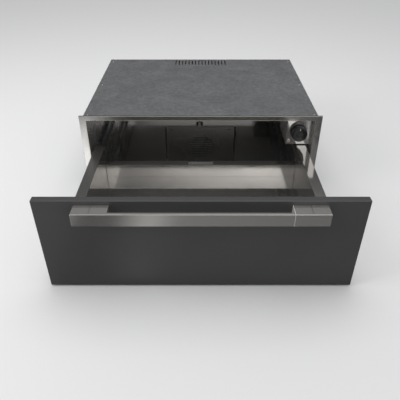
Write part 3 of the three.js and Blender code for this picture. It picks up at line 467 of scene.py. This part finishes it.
# painted shade: the tone falls to a tenth deeper in the cavity
unshaded_share = fade(tree, object_place(tree)["Y"], shade_start, shade_end, 1.0, 0.1)
grain_and_painted_shade = reckon(tree, "MULTIPLY", dull["Tone"], unshaded_share)
colour(tree, shader, grain_and_painted_shade, (0.5, 0.49, 0.48), (0.86, 0.85, 0.84))
wipe(tree, shader, 12.0, (0.42, 0.55))
relief(tree, shader, dull["Height"], 2e-5)
print(ceiling_sheet.name)

# %% [markdown]
# ### Zinc
# The casing is galvanised sheet with its spangle. The slides and the screws are plated, which gives a
# smoother, slightly blue skin, with drawing lines along the slide.

# %% Zinc
casing_zinc, tree, shader = start_finish("galvanised sheet", Metallic=1.0)
flakes = place_group(tree, spangle, Scale=120.0)
colour(tree, shader, flakes["Tone"], (0.50, 0.51, 0.52), (0.64, 0.65, 0.66))
wipe(tree, shader, 14.0, (0.42, 0.47))
relief(tree, shader, flakes["Height"], 2e-5)

slide_zinc = steel("plated slide steel", (0.42, 0.43, 0.44), (0.54, 0.55, 0.56), along_y,
                   roughness=(0.24, 0.36), depth=8e-6)
plated_zinc = steel("plated small parts", (0.46, 0.465, 0.47), (0.58, 0.585, 0.59), no_way,
                    roughness=(0.26, 0.4), depth=8e-6, size=60.0)
print("zinc finishes")

# %% [markdown]
# ### Lacquer, plastics and rubber
# The panel is a board sprayed with a matt dark lacquer. The knob, the gland and the small mouldings have a
# fine skin. Rubber is duller and more uneven.


# %% Moulded finishes
def moulded(name, dark, light, roughness, scale, depth, **constants):
    """A sprayed or moulded skin with its peel, its drift of tone and its uneven gloss."""
    finish, tree, shader = start_finish(name, **constants)
    surface = place_group(tree, skin, Scale=scale)
    colour(tree, shader, surface["Tone"], dark, light)
    wipe(tree, shader, 11.0, roughness)
    relief(tree, shader, surface["Height"], depth)
    return finish


panel_lacquer = moulded("dark lacquer", (0.052, 0.052, 0.053), (0.062, 0.062, 0.063),
                        roughness=(0.36, 0.46), scale=700.0, depth=2e-5)
black_moulding = moulded("black moulding", (0.010, 0.010, 0.011), (0.016, 0.016, 0.017),
                         roughness=(0.3, 0.42), scale=900.0, depth=2e-5)
knob_moulding = moulded("polished black moulding", grey(0.012), grey(0.018),
                        roughness=(0.12, 0.2), scale=900.0, depth=4e-6, Specular_IOR_Level=0.38)
rubber = moulded("dark rubber", (0.018, 0.017, 0.016), (0.032, 0.031, 0.029),
                 roughness=(0.7, 0.9), scale=500.0, depth=6e-5)
pale_moulding = moulded("pale moulding", (0.62, 0.60, 0.54), (0.70, 0.68, 0.62),
                        roughness=(0.42, 0.55), scale=900.0, depth=2e-5)
print("moulded finishes")

# %% [markdown]
# ### The works
# Behind the back wall are mineral wool, the heater's scaled tube, the motor's stacked iron, its varnished
# winding and the pressed fan. The brushed grain serves most of them, squeezed in other ways: wool is a mat of
# fibres, and stacked sheets are lines across the stack. The winding's turns are the bands of a wave.

# %% Mineral wool
wool, tree, shader = start_finish("mineral wool", Sheen_Weight=0.3)
fibres = place_group(tree, grain, Squeeze=(180.0, 260.0, 900.0))
colour(tree, shader, fibres["Tone"], (0.33, 0.27, 0.13), (0.62, 0.55, 0.34))
wipe(tree, shader, 30.0, (0.85, 1.0))
relief(tree, shader, fibres["Height"], 8e-4)
print(wool.name)

# %% Heater, iron, fan and winding
heater_sheath = steel("scaled heater tube", (0.10, 0.095, 0.09), (0.2, 0.185, 0.17), (260.0, 260.0, 260.0),
                      roughness=(0.4, 0.6), depth=4e-5, size=50.0)
stacked_iron = steel("stacked sheet iron", (0.13, 0.135, 0.14), (0.27, 0.275, 0.28), (10.0, 2000.0, 10.0),
                     roughness=(0.4, 0.55), depth=1e-4, size=40.0)
pressed_aluminium = steel("pressed aluminium", (0.56, 0.565, 0.57), (0.68, 0.685, 0.69), no_way,
                          roughness=(0.3, 0.42), depth=1e-5, size=40.0)

winding, tree, shader = start_finish("varnished winding", Metallic=0.8, Coat_Weight=0.5)
turns = node(tree, "TexWave", {"Vector": node(tree, "TexCoord").outputs["Object"], "Scale": 320,
                               "Distortion": 0.4}, bands_direction="X")
colour(tree, shader, turns.outputs["Fac"], (0.2, 0.07, 0.025), (0.66, 0.3, 0.13))
wipe(tree, shader, 60.0, (0.25, 0.4))
relief(tree, shader, turns.outputs["Fac"], 2e-4)
print("finishes for the works")

# %% [markdown]
# ### Amber lens
# The pilot lamp's lens is a pale amber plastic. It is small and unlit, so a partly clear shader with a
# frosted skin is enough.

# %% Amber lens
amber, tree, shader = start_finish("amber lens", Transmission_Weight=0.4, IOR=1.49)
frost = place_group(tree, skin, Scale=1500.0)
colour(tree, shader, frost["Tone"], (0.82, 0.72, 0.58), (0.9, 0.8, 0.68))
wipe(tree, shader, 80.0, (0.05, 0.1))
relief(tree, shader, frost["Height"], 1e-5)
print(amber.name)

# %% [markdown]
# ## Dressing the solids
# Each solid gets the finish of its real piece. The table names every solid once, so that none is forgotten.

# %% Dress the solids
finishes = {
    "pan": (pan_steel, "drawer_floor side_channel_right drawer_back drawer_front"),
    "left rail": (rubbed_and_shaded_rail_steel, "side_channel_left"),
    "cavity": (cavity_steel, "liner_floor liner_back"),
    "cavity sides": (cavity_side_steel, "liner_left liner_right"),
    "cavity ceiling": (ceiling_sheet, "liner_top"),
    "control box": (control_steel, "control_housing control_fascia"),
    "frame": (frame_steel, "front_frame"),
    "fan cover": (cover_steel, "fan_cover temperature_probe"),
    "cover screws": (dark_screw_steel, "fan_cover_screw_lower_left fan_cover_screw_lower_right "
                                      "fan_cover_screw_upper_left fan_cover_screw_upper_right"),
    "handle": (handle_steel, "handle_bar handle_end_left handle_end_right"),
    "casing": (casing_zinc, "base_tray side_case_left side_case_right top_cover rear_panel heater_housing "
                            "motor_bracket panel_carrier"),
    "slides": (slide_zinc, "slide_outer_left slide_outer_right slide_middle_left slide_middle_right "
                           "slide_inner_left slide_inner_right"),
    "plated parts": (plated_zinc, "probe_clip thermostat_nut thermostat_shaft motor_shaft impeller_nut "
                                  "handle_screw_left handle_screw_right"),
    "panel": (panel_lacquer, "decor_panel"),
    "black mouldings": (black_moulding, "control_knob cable_gland gland_nut thermostat"),
    "pale mouldings": (pale_moulding, "thermal_cutout terminal_block pilot_lamp_holder"),
    "insulation": (wool, "insulation_bottom insulation_top insulation_left insulation_right"),
    "heater": (heater_sheath, "ring_heater"),
    "stator": (stacked_iron, "motor_stator"),
    "coil": (winding, "motor_coil"),
    "fan": (pressed_aluminium, "fan_impeller"),
    "lamp": (amber, "pilot_lamp_lens"),
}


def dress(piece, finish):
    piece.data.materials.clear()
    piece.data.materials.append(finish)


for title, (finish, names) in finishes.items():
    for name in names.split():
        dress(nodes[name], finish)
    print(title, "wears", finish.name)

# %% [markdown]
# ## Tools for new pieces
# Real edges are never quite sharp: a fold in sheet steel has a radius, and a bar is broken by a file. That
# small round catches a line of light. The pieces in view whose edges do this are modelled again by hand:
# a primitive at its size and place, then edit mode. With no window to click in, faces and edges are picked
# in code, by where they are and which way they run.


# %% Start and edit a piece
def select_alone(piece):
    bpy.ops.object.select_all(action="DESELECT")
    piece.select_set(True)
    bpy.context.view_layer.objects.active = piece


def begin(shape, name, scale=(1, 1, 1), **settings):
    """Adds a primitive at its size and place, with its object at the origin."""
    bpy.ops.object.select_all(action="DESELECT")
    add = {"box": bpy.ops.mesh.primitive_cube_add, "sheet": bpy.ops.mesh.primitive_plane_add,
           "disc": bpy.ops.mesh.primitive_circle_add, "rod": bpy.ops.mesh.primitive_cylinder_add}[shape]
    add(**settings)
    piece = bpy.context.object
    piece.name = piece.data.name = name
    piece.scale = scale
    bpy.ops.object.transform_apply(location=True, rotation=True, scale=True)
    return piece


def box_between(name, low, high):
    """A box from its lowest to its highest corner."""
    low, high = Vector(low), Vector(high)
    return begin("box", name, size=1, location=(low + high) / 2, scale=high - low)


@contextmanager
def editing(piece):
    """Edit mode on one piece alone, with nothing selected in it."""
    select_alone(piece)
    bpy.ops.object.mode_set(mode="EDIT")
    bpy.ops.mesh.select_all(action="DESELECT")
    yield
    bpy.ops.object.mode_set(mode="OBJECT")


print("a piece can be started and edited")


# %% Pick faces and edges
def pick(piece, kind, wanted):
    """Selects the vertices, edges or faces that pass a test, and nothing else."""
    bpy.ops.mesh.select_mode(type=kind)
    bpy.ops.mesh.select_all(action="DESELECT")
    mesh = bmesh.from_edit_mesh(piece.data)
    for part in {"VERT": mesh.verts, "EDGE": mesh.edges, "FACE": mesh.faces}[kind]:
        if wanted(part):
            part.select_set(True)
    mesh.select_flush_mode()
    bmesh.update_edit_mesh(piece.data)


def middle(part):
    return sum((corner.co for corner in part.verts), Vector()) / len(part.verts)


def runs(edge, axis):
    """Whether an edge runs along axis 0, 1 or 2."""
    first, last = (corner.co for corner in edge.verts)
    return abs((last - first).normalized()[axis]) > 0.999


hair = 1e-5  # what lies nearer than this counts as the same place


def near(value, target):
    return abs(value - target) < hair


print("edges can be picked")


# %% Shape what is picked
def extrude(*shift):
    """Draws new walls out of what is selected."""
    bpy.ops.mesh.extrude_region_move(TRANSFORM_OT_translate={"value": shift})


def round_edges(piece, radius, segments, wanted):
    pick(piece, "EDGE", wanted)
    bpy.ops.mesh.bevel(offset=radius, offset_type="OFFSET", segments=segments, profile=0.5, affect="EDGES")


def score(place, way):
    """Draws new edges where a plane crosses the whole piece."""
    bpy.ops.mesh.select_all(action="SELECT")
    bpy.ops.mesh.bisect(plane_co=place, plane_no=way)


def face_outwards():
    bpy.ops.mesh.select_all(action="SELECT")
    bpy.ops.mesh.normals_make_consistent(inside=False)


print("edges can be drawn out and rounded")


# %% Finish a piece
def apply_modifier(piece, kind, **settings):
    """Adds a modifier, sets it and applies it."""
    select_alone(piece)
    modifier = piece.modifiers.new(kind.lower(), kind)
    for option, value in settings.items():
        setattr(modifier, option, value)
    bpy.ops.object.modifier_apply(modifier=modifier.name)


def cut_out(piece, cutter):
    apply_modifier(piece, "BOOLEAN", object=cutter, operation="DIFFERENCE", solver="EXACT")


def thicken(piece, thickness, outward):
    """Turns a sheet's faces outward, judged by its largest face, and gives it its thickness inward."""
    with editing(piece):
        bpy.ops.mesh.select_all(action="SELECT")
        bpy.ops.mesh.remove_doubles(threshold=1e-6)
        bpy.ops.mesh.normals_make_consistent(inside=False)
        largest = max(bmesh.from_edit_mesh(piece.data).faces, key=lambda face: face.calc_area())
        if largest.normal.dot(Vector(outward)) < 0:
            bpy.ops.mesh.flip_normals()
    apply_modifier(piece, "SOLIDIFY", thickness=thickness, offset=-1, use_even_offset=True)


def complete(piece, body, finish, stands_for=(), smooth=35):
    """Smooths the folds and keeps the flats flat, then gives a piece its finish and body, and hides the
    solids it stands for.
    """
    select_alone(piece)
    bpy.ops.object.shade_smooth_by_angle(angle=math.radians(smooth))
    apply_modifier(piece, "WEIGHTED_NORMAL", keep_sharp=True)
    dress(piece, finish)
    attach(piece, body)
    if stands_for:
        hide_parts(*stands_for)
    print(piece.name, len(piece.data.polygons), "faces, rides on", body)


# %% [markdown]
# ## Handle
# The handle is a brushed bar with a deep block at each end that stands it off the panel. The bar is a box
# with rounded edges. Its front round mirrors the room from floor to ceiling within a millimetre, which draws
# the bright line along its upper edge.

# %% Handle bar
handle_front, handle_bottom, handle_top = -0.772, 0.221, 0.253
bar_half, bar_depth = 0.2032, 0.0085
front_round, back_round = 0.0008, 0.001

bar = box_between("rounded_handle_bar", (-bar_half, handle_front, handle_bottom),
                  (bar_half, handle_front + bar_depth, handle_top))
with editing(bar):
    round_edges(bar, front_round, 4, lambda edge: runs(edge, 0) and near(middle(edge).y, handle_front))
    round_edges(bar, back_round, 3,
                lambda edge: runs(edge, 0) and near(middle(edge).y, handle_front + bar_depth))
complete(bar, "drawer", handle_steel, ["handle_bar"])

# %% [markdown]
# ### Joint in each block
# Each block is glued up of two halves, so a thin groove runs over its top. A smooth groove alone would pass
# on the light of the ceiling, where a real joint stays in shade. So the handle's finish is painted near black
# at the joint as painted shade, just under the top and just behind the front edge.

# %% Joint in each block
block_inner, block_outer = 0.2035, 0.2835
seam_half, seam_depth = 0.0004, 0.003
face_margin = 0.0001  # about how far the dark tone keeps from the faces of the block

tree = handle_steel.node_tree
shader = tree.nodes["Principled BSDF"]
place = object_place(tree)
at_seam = reckon(tree, "COMPARE", reckon(tree, "ABSOLUTE", place["X"]), (block_inner + block_outer) / 2,
                 seam_half + face_margin / 2)
under_top = reckon(tree, "COMPARE", place["Z"], handle_top - seam_depth, seam_depth - face_margin)
behind_edge = reckon(tree, "GREATER_THAN", place["Y"], handle_front + front_round - face_margin / 2)
inside = reckon(tree, "MULTIPLY", reckon(tree, "MULTIPLY", at_seam, under_top), behind_edge)
# near black inside the joint's groove: painted shade
feed(shader, Base_Color=mix(tree, inside, fed(shader, "Base Color"), (*grey(0.01), 1)))
print("joint", 2 * seam_half, "m wide")

# %% [markdown]
# ### Painted highlight on the right joint
# Where the right block meets the bar, its edge was broken with a file, and the joint catches the light from
# the left as a pale line. That line is a painted highlight: a copy of the handle's finish is less metallic
# over the width of the edge, so its pale colour shows.

# %% Painted highlight on the right joint
chamfer_and_highlight_width, highlight_fade = 0.0012, 0.0002
highlight_end = block_inner + chamfer_and_highlight_width
highlight_metallic, bar_metallic = 0.3, 0.9

handle_steel_with_painted_highlight, tree, shader = vary(handle_steel, "satin handle steel with a painted highlight")
# a lower Metallic over the edge lets the pale colour show: a painted highlight
feed(shader, Metallic=fade(tree, object_place(tree)["X"], highlight_end, highlight_end + highlight_fade,
                           highlight_metallic, bar_metallic))
print(handle_steel_with_painted_highlight.name)

# %% [markdown]
# ### Handle ends
# A block is a box with round edges wherever a hand can meet it. Two cuts close together mark out the joint,
# and the strip between them is pushed down into the top.

# %% Handle ends
block_back = -0.7353
block_round = 0.0008

for name, side in (("left", -1), ("right", 1)):
    inner, outer = side * block_inner, side * block_outer
    seam = (inner + outer) / 2
    block = box_between(f"rounded_handle_end_{name}", (min(inner, outer), handle_front, handle_bottom),
                        (max(inner, outer), block_back, handle_top))
    with editing(block):
        round_edges(block, front_round, 4, lambda edge: near(middle(edge).y, handle_front)
                    and (runs(edge, 0) or near(middle(edge).x, outer)))
        round_edges(block, chamfer_and_highlight_width, 1, lambda edge: runs(edge, 2) and near(middle(edge).y, handle_front)
                    and near(middle(edge).x, block_inner))
        round_edges(block, block_round, 3, lambda edge: runs(edge, 1)
                    or (runs(edge, 0) and near(middle(edge).y, block_back)))
        for cut in (seam - seam_half, seam + seam_half):
            score((cut, 0, 0), (1, 0, 0))
        pick(block, "FACE", lambda face: near(middle(face).x, seam) and near(middle(face).z, handle_top))
        extrude(0, 0, -seam_depth)
    complete(block, "drawer", handle_steel_with_painted_highlight if side > 0 else handle_steel,
             [f"handle_end_{name}"])

# %% [markdown]
# ## Decor panel
# The panel is a board with lacquer on all sides. Lacquer draws back from a sharp corner, so such boards are
# rounded first. One bevel rounds every edge.

# %% Decor panel
panel_round = 0.002

panel_low, panel_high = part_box("decor_panel")
panel = box_between("rounded_decor_panel", panel_low, panel_high)
with editing(panel):
    round_edges(panel, panel_round, 5, lambda edge: True)
complete(panel, "drawer", panel_lacquer, ["decor_panel"])

# %% [markdown]
# ## Front frame
# The frame round the mouth is one pressed sheet. Its outer rim is folded back against the cabinet, and its
# inner rim turns in to meet the cavity. It starts as a flat sheet, scored along the mouth's four sides. The
# middle is taken out, both rims are extruded backwards and the folds are bevelled.

# %% Front frame
frame_low, frame_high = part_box("front_frame")
mouth_half, mouth_bottom, mouth_top = 0.351, 0.010, 0.242
mouth_turn, mouth_fold = 0.0019, 0.0018
rim_fold, frame_sheet = 0.0006, 0.0008

flange = begin("sheet", "folded_front_frame", size=1, rotation=(math.radians(90), 0, 0),
               location=(0, frame_low.y, (frame_low.z + frame_high.z) / 2),
               scale=(frame_high.x - frame_low.x, frame_high.z - frame_low.z, 1))


def at_mouth(place):
    """Whether a place is on the mouth's outline."""
    on_side = near(abs(place.x), mouth_half) and mouth_bottom - hair < place.z < mouth_top + hair
    on_end = (near(place.z, mouth_bottom) or near(place.z, mouth_top)) and abs(place.x) < mouth_half + hair
    return on_side or on_end


def at_rim(place):
    """Whether a place is on the frame's outer outline."""
    return near(abs(place.x), frame_high.x) or near(place.z, frame_low.z) or near(place.z, frame_high.z)


def all_at(edge, outline):
    return all(outline(corner.co) for corner in edge.verts)


def in_face(edge):
    return near(middle(edge).y, frame_low.y)


with editing(flange):
    for x in (-mouth_half, mouth_half):
        score((x, 0, 0), (1, 0, 0))
    for z in (mouth_bottom, mouth_top):
        score((0, 0, z), (0, 0, 1))
    pick(flange, "FACE", lambda face: abs(middle(face).x) < mouth_half
         and mouth_bottom < middle(face).z < mouth_top)
    bpy.ops.mesh.delete(type="FACE")
    pick(flange, "EDGE", lambda edge: all_at(edge, at_mouth))
    extrude(0, mouth_turn, 0)
    pick(flange, "EDGE", lambda edge: in_face(edge) and all_at(edge, at_rim) and at_rim(middle(edge)))
    extrude(0, frame_high.y - frame_low.y, 0)
    round_edges(flange, rim_fold, 3, lambda edge: in_face(edge) and at_rim(middle(edge)))
    round_edges(flange, mouth_fold, 5, lambda edge: in_face(edge) and all_at(edge, at_mouth))
thicken(flange, frame_sheet, (0, -1, 0))
complete(flange, "chassis", frame_steel, ["front_frame"])

# %% [markdown]
# ## Pan
# The pan is folded from polished sheet. Each side is one strip: the wall rises from the floor, turns outwards
# over the slide as a flat rail and comes down as a skirt. A sheet standing in the wall's place is extruded
# edge by edge along the folds, then each fold is bevelled and the sheet gets its thickness.

# %% Pan sides
fold_radius = 0.0012
side_sheet = 0.0012
skirt_drop = 0.095

for name, side in (("left", -1), ("right", 1)):
    low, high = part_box(f"side_channel_{name}")
    wall, skirt = side * min(abs(low.x), abs(high.x)), side * max(abs(low.x), abs(high.x))
    channel = begin("sheet", f"folded_side_channel_{name}", size=1, rotation=(0, math.radians(90), 0),
                    location=(wall, (low.y + high.y) / 2, (low.z + high.z) / 2),
                    scale=(high.z - low.z, high.y - low.y, 1))
    with editing(channel):
        pick(channel, "EDGE", lambda edge: near(middle(edge).z, high.z))
        extrude(skirt - wall, 0, 0)
        extrude(0, 0, -skirt_drop)
        round_edges(channel, fold_radius, 5, lambda edge: runs(edge, 1) and near(middle(edge).z, high.z))
    thicken(channel, side_sheet, (-side, 0, 0))
    complete(channel, "drawer", rubbed_and_shaded_rail_steel if side < 0 else pan_steel,
             [f"side_channel_{name}"])

# %% [markdown]
# ### Back wall
# The back wall is lower than the sides and fits between them. It is folded the same way, up, back over the
# rail and down again. Its fold is pressed almost sharp, so it gets a very small round.

# %% Back wall
corner_gap = 0.0006
back_sheet, back_fold = 0.001, 0.00015

low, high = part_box("drawer_back")
back_half = high.x - corner_gap
back = begin("sheet", "folded_drawer_back", size=1, rotation=(math.radians(90), 0, 0),
             location=(0, low.y, (low.z + high.z) / 2), scale=(2 * back_half, high.z - low.z, 1))
with editing(back):
    pick(back, "EDGE", lambda edge: near(middle(edge).z, high.z))
    extrude(0, high.y - low.y, 0)
    extrude(0, 0, low.z - high.z)
    round_edges(back, back_fold, 2, lambda edge: runs(edge, 0) and near(middle(edge).z, high.z))
thicken(back, back_sheet, (0, -1, 0))
print(back.name, "folded")

# %% [markdown]
# ### Notch
# In the middle of the back wall's rail is a flared notch. A box whose upper corners are pulled apart has its
# shape, and is cut out of the rail. It starts behind the wall's face, which stays whole.

# %% Notch
notch_half, notch_flare, notch_depth = 0.035, 0.007, 0.012
notch_front = low.y + 0.0013
past_back, past_top = 0.002, 0.0012

notch = box_between("notch_cutter", (-notch_half, notch_front, high.z - notch_depth),
                    (notch_half, high.y + past_back, high.z + past_top))
with editing(notch):
    for side in (-1, 1):
        pick(notch, "VERT", lambda corner: near(corner.co.x, side * notch_half) and corner.co.z > high.z)
        bpy.ops.transform.translate(value=(side * notch_flare, 0, 0))
cut_out(back, notch)
bpy.data.objects.remove(notch)
complete(back, "drawer", pan_steel, ["drawer_back"])

# %% [markdown]
# ### Dip in the notch
# Seen from above, the notch is only a shallow dip, because a small plate lies in it just below the rail. The
# plate is a sheet whose two ends are extruded outwards and up, with a round at each fold. Its satin finish
# sets it off from the rail.

# %% Dip in the notch
dip_depth, dip_lip, dip_radius = 0.0018, 0.0004, 0.0009
dip_flare, dip_sheet = 0.8 * notch_flare, 0.0008

dip = begin("sheet", "notch_dip", size=1, scale=(2 * notch_half, high.y - notch_front, 1),
            location=(0, (notch_front + high.y) / 2, high.z - dip_depth))
with editing(dip):
    for side in (-1, 1):
        pick(dip, "EDGE", lambda edge: near(middle(edge).x, side * notch_half))
        extrude(side * dip_flare, 0, dip_depth - dip_lip)
    round_edges(dip, dip_radius, 3, lambda edge: runs(edge, 1) and near(abs(middle(edge).x), notch_half))
thicken(dip, dip_sheet, (0, 0, 1))
complete(dip, "drawer", cavity_side_steel)

# %% [markdown]
# ## Thermostat knob
# The knob is a deep turned shape of polished black plastic: a skirt against the fascia, a groove, a ribbed
# grip and a face of stepped rings, each of which catches its own arc of light. It is raised from a disc:
# every ring is one extrude and one resize. The ribs are every face of the grip, inset and pushed in.


# %% Knob
def axis_of(name):
    """Where the axis of a turned solid stands, as X and Z."""
    low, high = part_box(name)
    return (low.x + high.x) / 2, (low.z + high.z) / 2


knob_x, knob_z = axis_of("control_knob")
knob_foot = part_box("control_knob")[1].y
knob_sides, foot_radius = 72, 0.0252
grip_low, grip_high = 0.006, 0.02
rib_land, rib_depth = 0.0004, 0.0005
knob_rings = [  # radius, and height above the foot
    (0.026, 0.0008), (0.026, 0.003), (0.0252, 0.004), (0.0234, 0.0041), (0.0234, 0.0055), (0.0245, 0.0057),
    (0.0242, 0.0206), (0.0236, 0.0224), (0.0226, 0.0234), (0.0214, 0.0238), (0.0188, 0.0238),
    (0.018, 0.0228), (0.0150, 0.0228), (0.0143, 0.0236), (0.0118, 0.0236), (0.011, 0.0226),
    (0.007, 0.0222), (0.002, 0.0221)]

knob = begin("disc", "ringed_knob", vertices=knob_sides, radius=foot_radius, fill_type="NGON",
             location=(knob_x, knob_foot, knob_z), rotation=(math.radians(90), 0, 0))
with editing(knob):
    pick(knob, "FACE", lambda face: True)
    radius, height = foot_radius, 0
    for next_radius, next_height in knob_rings:
        extrude(0, height - next_height, 0)
        bpy.ops.transform.resize(value=(next_radius / radius, 1, next_radius / radius),
                                 center_override=(knob_x, knob_foot - next_height, knob_z))
        radius, height = next_radius, next_height
    face_outwards()
    pick(knob, "FACE", lambda face: len(face.verts) == 4 and abs(face.normal.y) < 0.1
         and grip_low < knob_foot - middle(face).y < grip_high)
    bpy.ops.mesh.inset(thickness=rib_land, depth=-rib_depth, use_individual=True)
complete(knob, "knob", knob_moulding, ["control_knob"], smooth=40)

# %% [markdown]
# ### Pointer
# A pale bar in the knob's face shows its setting. It is a thin box with rounded edges.

# %% Pointer
pointer_half, pointer_round = 0.0008, 0.0003
pointer_foot, pointer_face = 0.0225, 0.0243  # above the knob's foot
pointer_inner, pointer_outer = 0.0146, 0.0212  # from the knob's axis

pointer = box_between("knob_pointer",
                      (knob_x - pointer_half, knob_foot - pointer_face, knob_z + pointer_inner),
                      (knob_x + pointer_half, knob_foot - pointer_foot, knob_z + pointer_outer))
with editing(pointer):
    round_edges(pointer, pointer_round, 2,
                lambda edge: near(middle(edge).y, knob_foot - pointer_face) or runs(edge, 1))
complete(pointer, "knob", pale_moulding)

# %% [markdown]
# ## Lamp bezel
# The pilot lamp's lens looks out of a small bright ring. A circle is widened into a flat ring, the ring is
# drawn forwards into a sleeve, and its front edges are rounded, so that it throws a spark.

# %% Lamp bezel
lamp_x, lamp_z = axis_of("pilot_lamp_lens")
fascia_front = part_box("control_fascia")[0].y
bezel_inner, bezel_outer, bezel_height, bezel_round = 0.0038, 0.0051, 0.0016, 0.0005


def from_lamp(corner):
    """A corner's distance from the lamp's axis."""
    return (corner.co.xz - Vector((lamp_x, lamp_z))).length


bezel = begin("disc", "lamp_bezel", vertices=40, radius=bezel_inner, fill_type="NOTHING",
              location=(lamp_x, fascia_front, lamp_z), rotation=(math.radians(90), 0, 0))
with editing(bezel):
    bpy.ops.mesh.select_all(action="SELECT")
    bpy.ops.mesh.extrude_edges_move(TRANSFORM_OT_translate={"value": (0, 0, 0)})
    widen = bezel_outer / bezel_inner
    bpy.ops.transform.resize(value=(widen, 1, widen), center_override=(lamp_x, fascia_front, lamp_z))
    bpy.ops.mesh.select_all(action="SELECT")
    extrude(0, -bezel_height, 0)
    face_outwards()
    round_edges(bezel, bezel_round, 3, lambda edge: near(middle(edge).y, fascia_front - bezel_height)
                and near(*(from_lamp(corner) for corner in edge.verts)))
complete(bezel, "chassis", control_steel, smooth=50)

# %% [markdown]
# ## Screws and buffers
# The casing and the panel's carrier are put together with pan-head screws that have a cross recess. One head
# is modelled: a short rod whose rim is rounded into a dome, with two crossed recesses cut out.

# %% Screw head
head_radius, head_height, head_round = 0.0036, 0.0022, 0.0012
recess_depth, recess_width, recess_reach = 0.0012, 0.0009, 0.0021
past_head = 0.001

screw = begin("rod", "pan_head", vertices=24, radius=head_radius, depth=head_height,
              location=(0, 0, head_height / 2))
with editing(screw):
    round_edges(screw, head_round, 4, lambda edge: near(middle(edge).z, head_height))
recess = box_between("recess", (-recess_reach, -recess_width / 2, head_height - recess_depth),
                     (recess_reach, recess_width / 2, head_height + past_head))
for turn in (0, 90):
    recess.rotation_euler.z = math.radians(turn)
    bpy.context.view_layer.update()
    cut_out(screw, recess)
bpy.data.objects.remove(recess)
print("pan head", len(screw.data.polygons), "faces")

# %% [markdown]
# ### Screw places
# Each place gets its own copy of the head, turned to face out of its sheet: six on the cover, six on the
# rear, three low on each side and eight on the back of the panel's carrier.

# %% Screw places
facing = {"up": (0, 0, 0), "back": (-90, 0, 0), "left": (0, -90, 0), "right": (0, 90, 0)}


def place_copies(pattern, name, body, finish, way, places):
    """Turned copies of a pattern, each at its own place and with its own mesh."""
    copies = []
    for place in places:
        copy = bpy.data.objects.new(name, pattern.data.copy())
        bpy.context.scene.collection.objects.link(copy)
        copy.rotation_euler = [math.radians(angle) for angle in facing[way]]
        copy.location = place
        copies.append(copy)
    bpy.ops.object.select_all(action="DESELECT")
    for copy in copies:
        copy.select_set(True)
    bpy.context.view_layer.objects.active = copies[0]
    bpy.ops.object.transform_apply(location=True, rotation=True, scale=True)
    for number, copy in enumerate(copies, 1):
        copy.name = copy.data.name = f"{name}_{number}"
        complete(copy, body, finish)


casing_low, casing_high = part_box("rear_panel")
cover_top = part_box("top_cover")[1].z
carrier_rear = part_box("panel_carrier")[1].y
low_row, high_row = 0.012, 0.240

screw_rows = [
    ("cover_screw", "chassis", "up",
     [(x, y, cover_top) for x in (-0.35, 0.35) for y in (-0.255, 0.0, 0.255)]),
    ("rear_screw", "chassis", "back",
     [(x, casing_high.y, z) for x in (-0.352, 0, 0.352) for z in (low_row, high_row)]),
    ("side_screw_left", "chassis", "left", [(casing_low.x, y, low_row) for y in (-0.2, 0.0, 0.2)]),
    ("side_screw_right", "chassis", "right", [(casing_high.x, y, low_row) for y in (-0.2, 0.0, 0.2)]),
    ("panel_screw", "drawer", "back",
     [(x, carrier_rear, z) for x in (-0.345, -0.12, 0.12, 0.345) for z in (0.032, 0.19)]),
]
for name, body, way, places in screw_rows:
    place_copies(screw, name, body, plated_zinc, way, places)
bpy.data.objects.remove(screw)

# %% [markdown]
# ### Buffers
# Four rubber buffers on the carrier's corners meet the frame when the drawer shuts. Each is a low rod with
# a hollowed face, which lets it give, and a rounded rim.

# %% Buffers
buffer_radius, buffer_height, buffer_round = 0.006, 0.0032, 0.0009
buffer_rim, buffer_hollow = 0.0022, 0.0006

buffer = begin("rod", "buffer", vertices=28, radius=buffer_radius, depth=buffer_height,
               location=(0, 0, buffer_height / 2))
with editing(buffer):
    pick(buffer, "FACE", lambda face: face.normal.z > 0.9)
    bpy.ops.mesh.inset(thickness=buffer_rim)
    bpy.ops.transform.translate(value=(0, 0, -buffer_hollow))
    round_edges(buffer, buffer_round, 3, lambda edge: near(middle(edge).z, buffer_height))
place_copies(buffer, "panel_buffer", "drawer", rubber, "back",
             [(x, carrier_rear, z) for x in (-0.3615, 0.3615) for z in (0.05, 0.225)])
bpy.data.objects.remove(buffer)
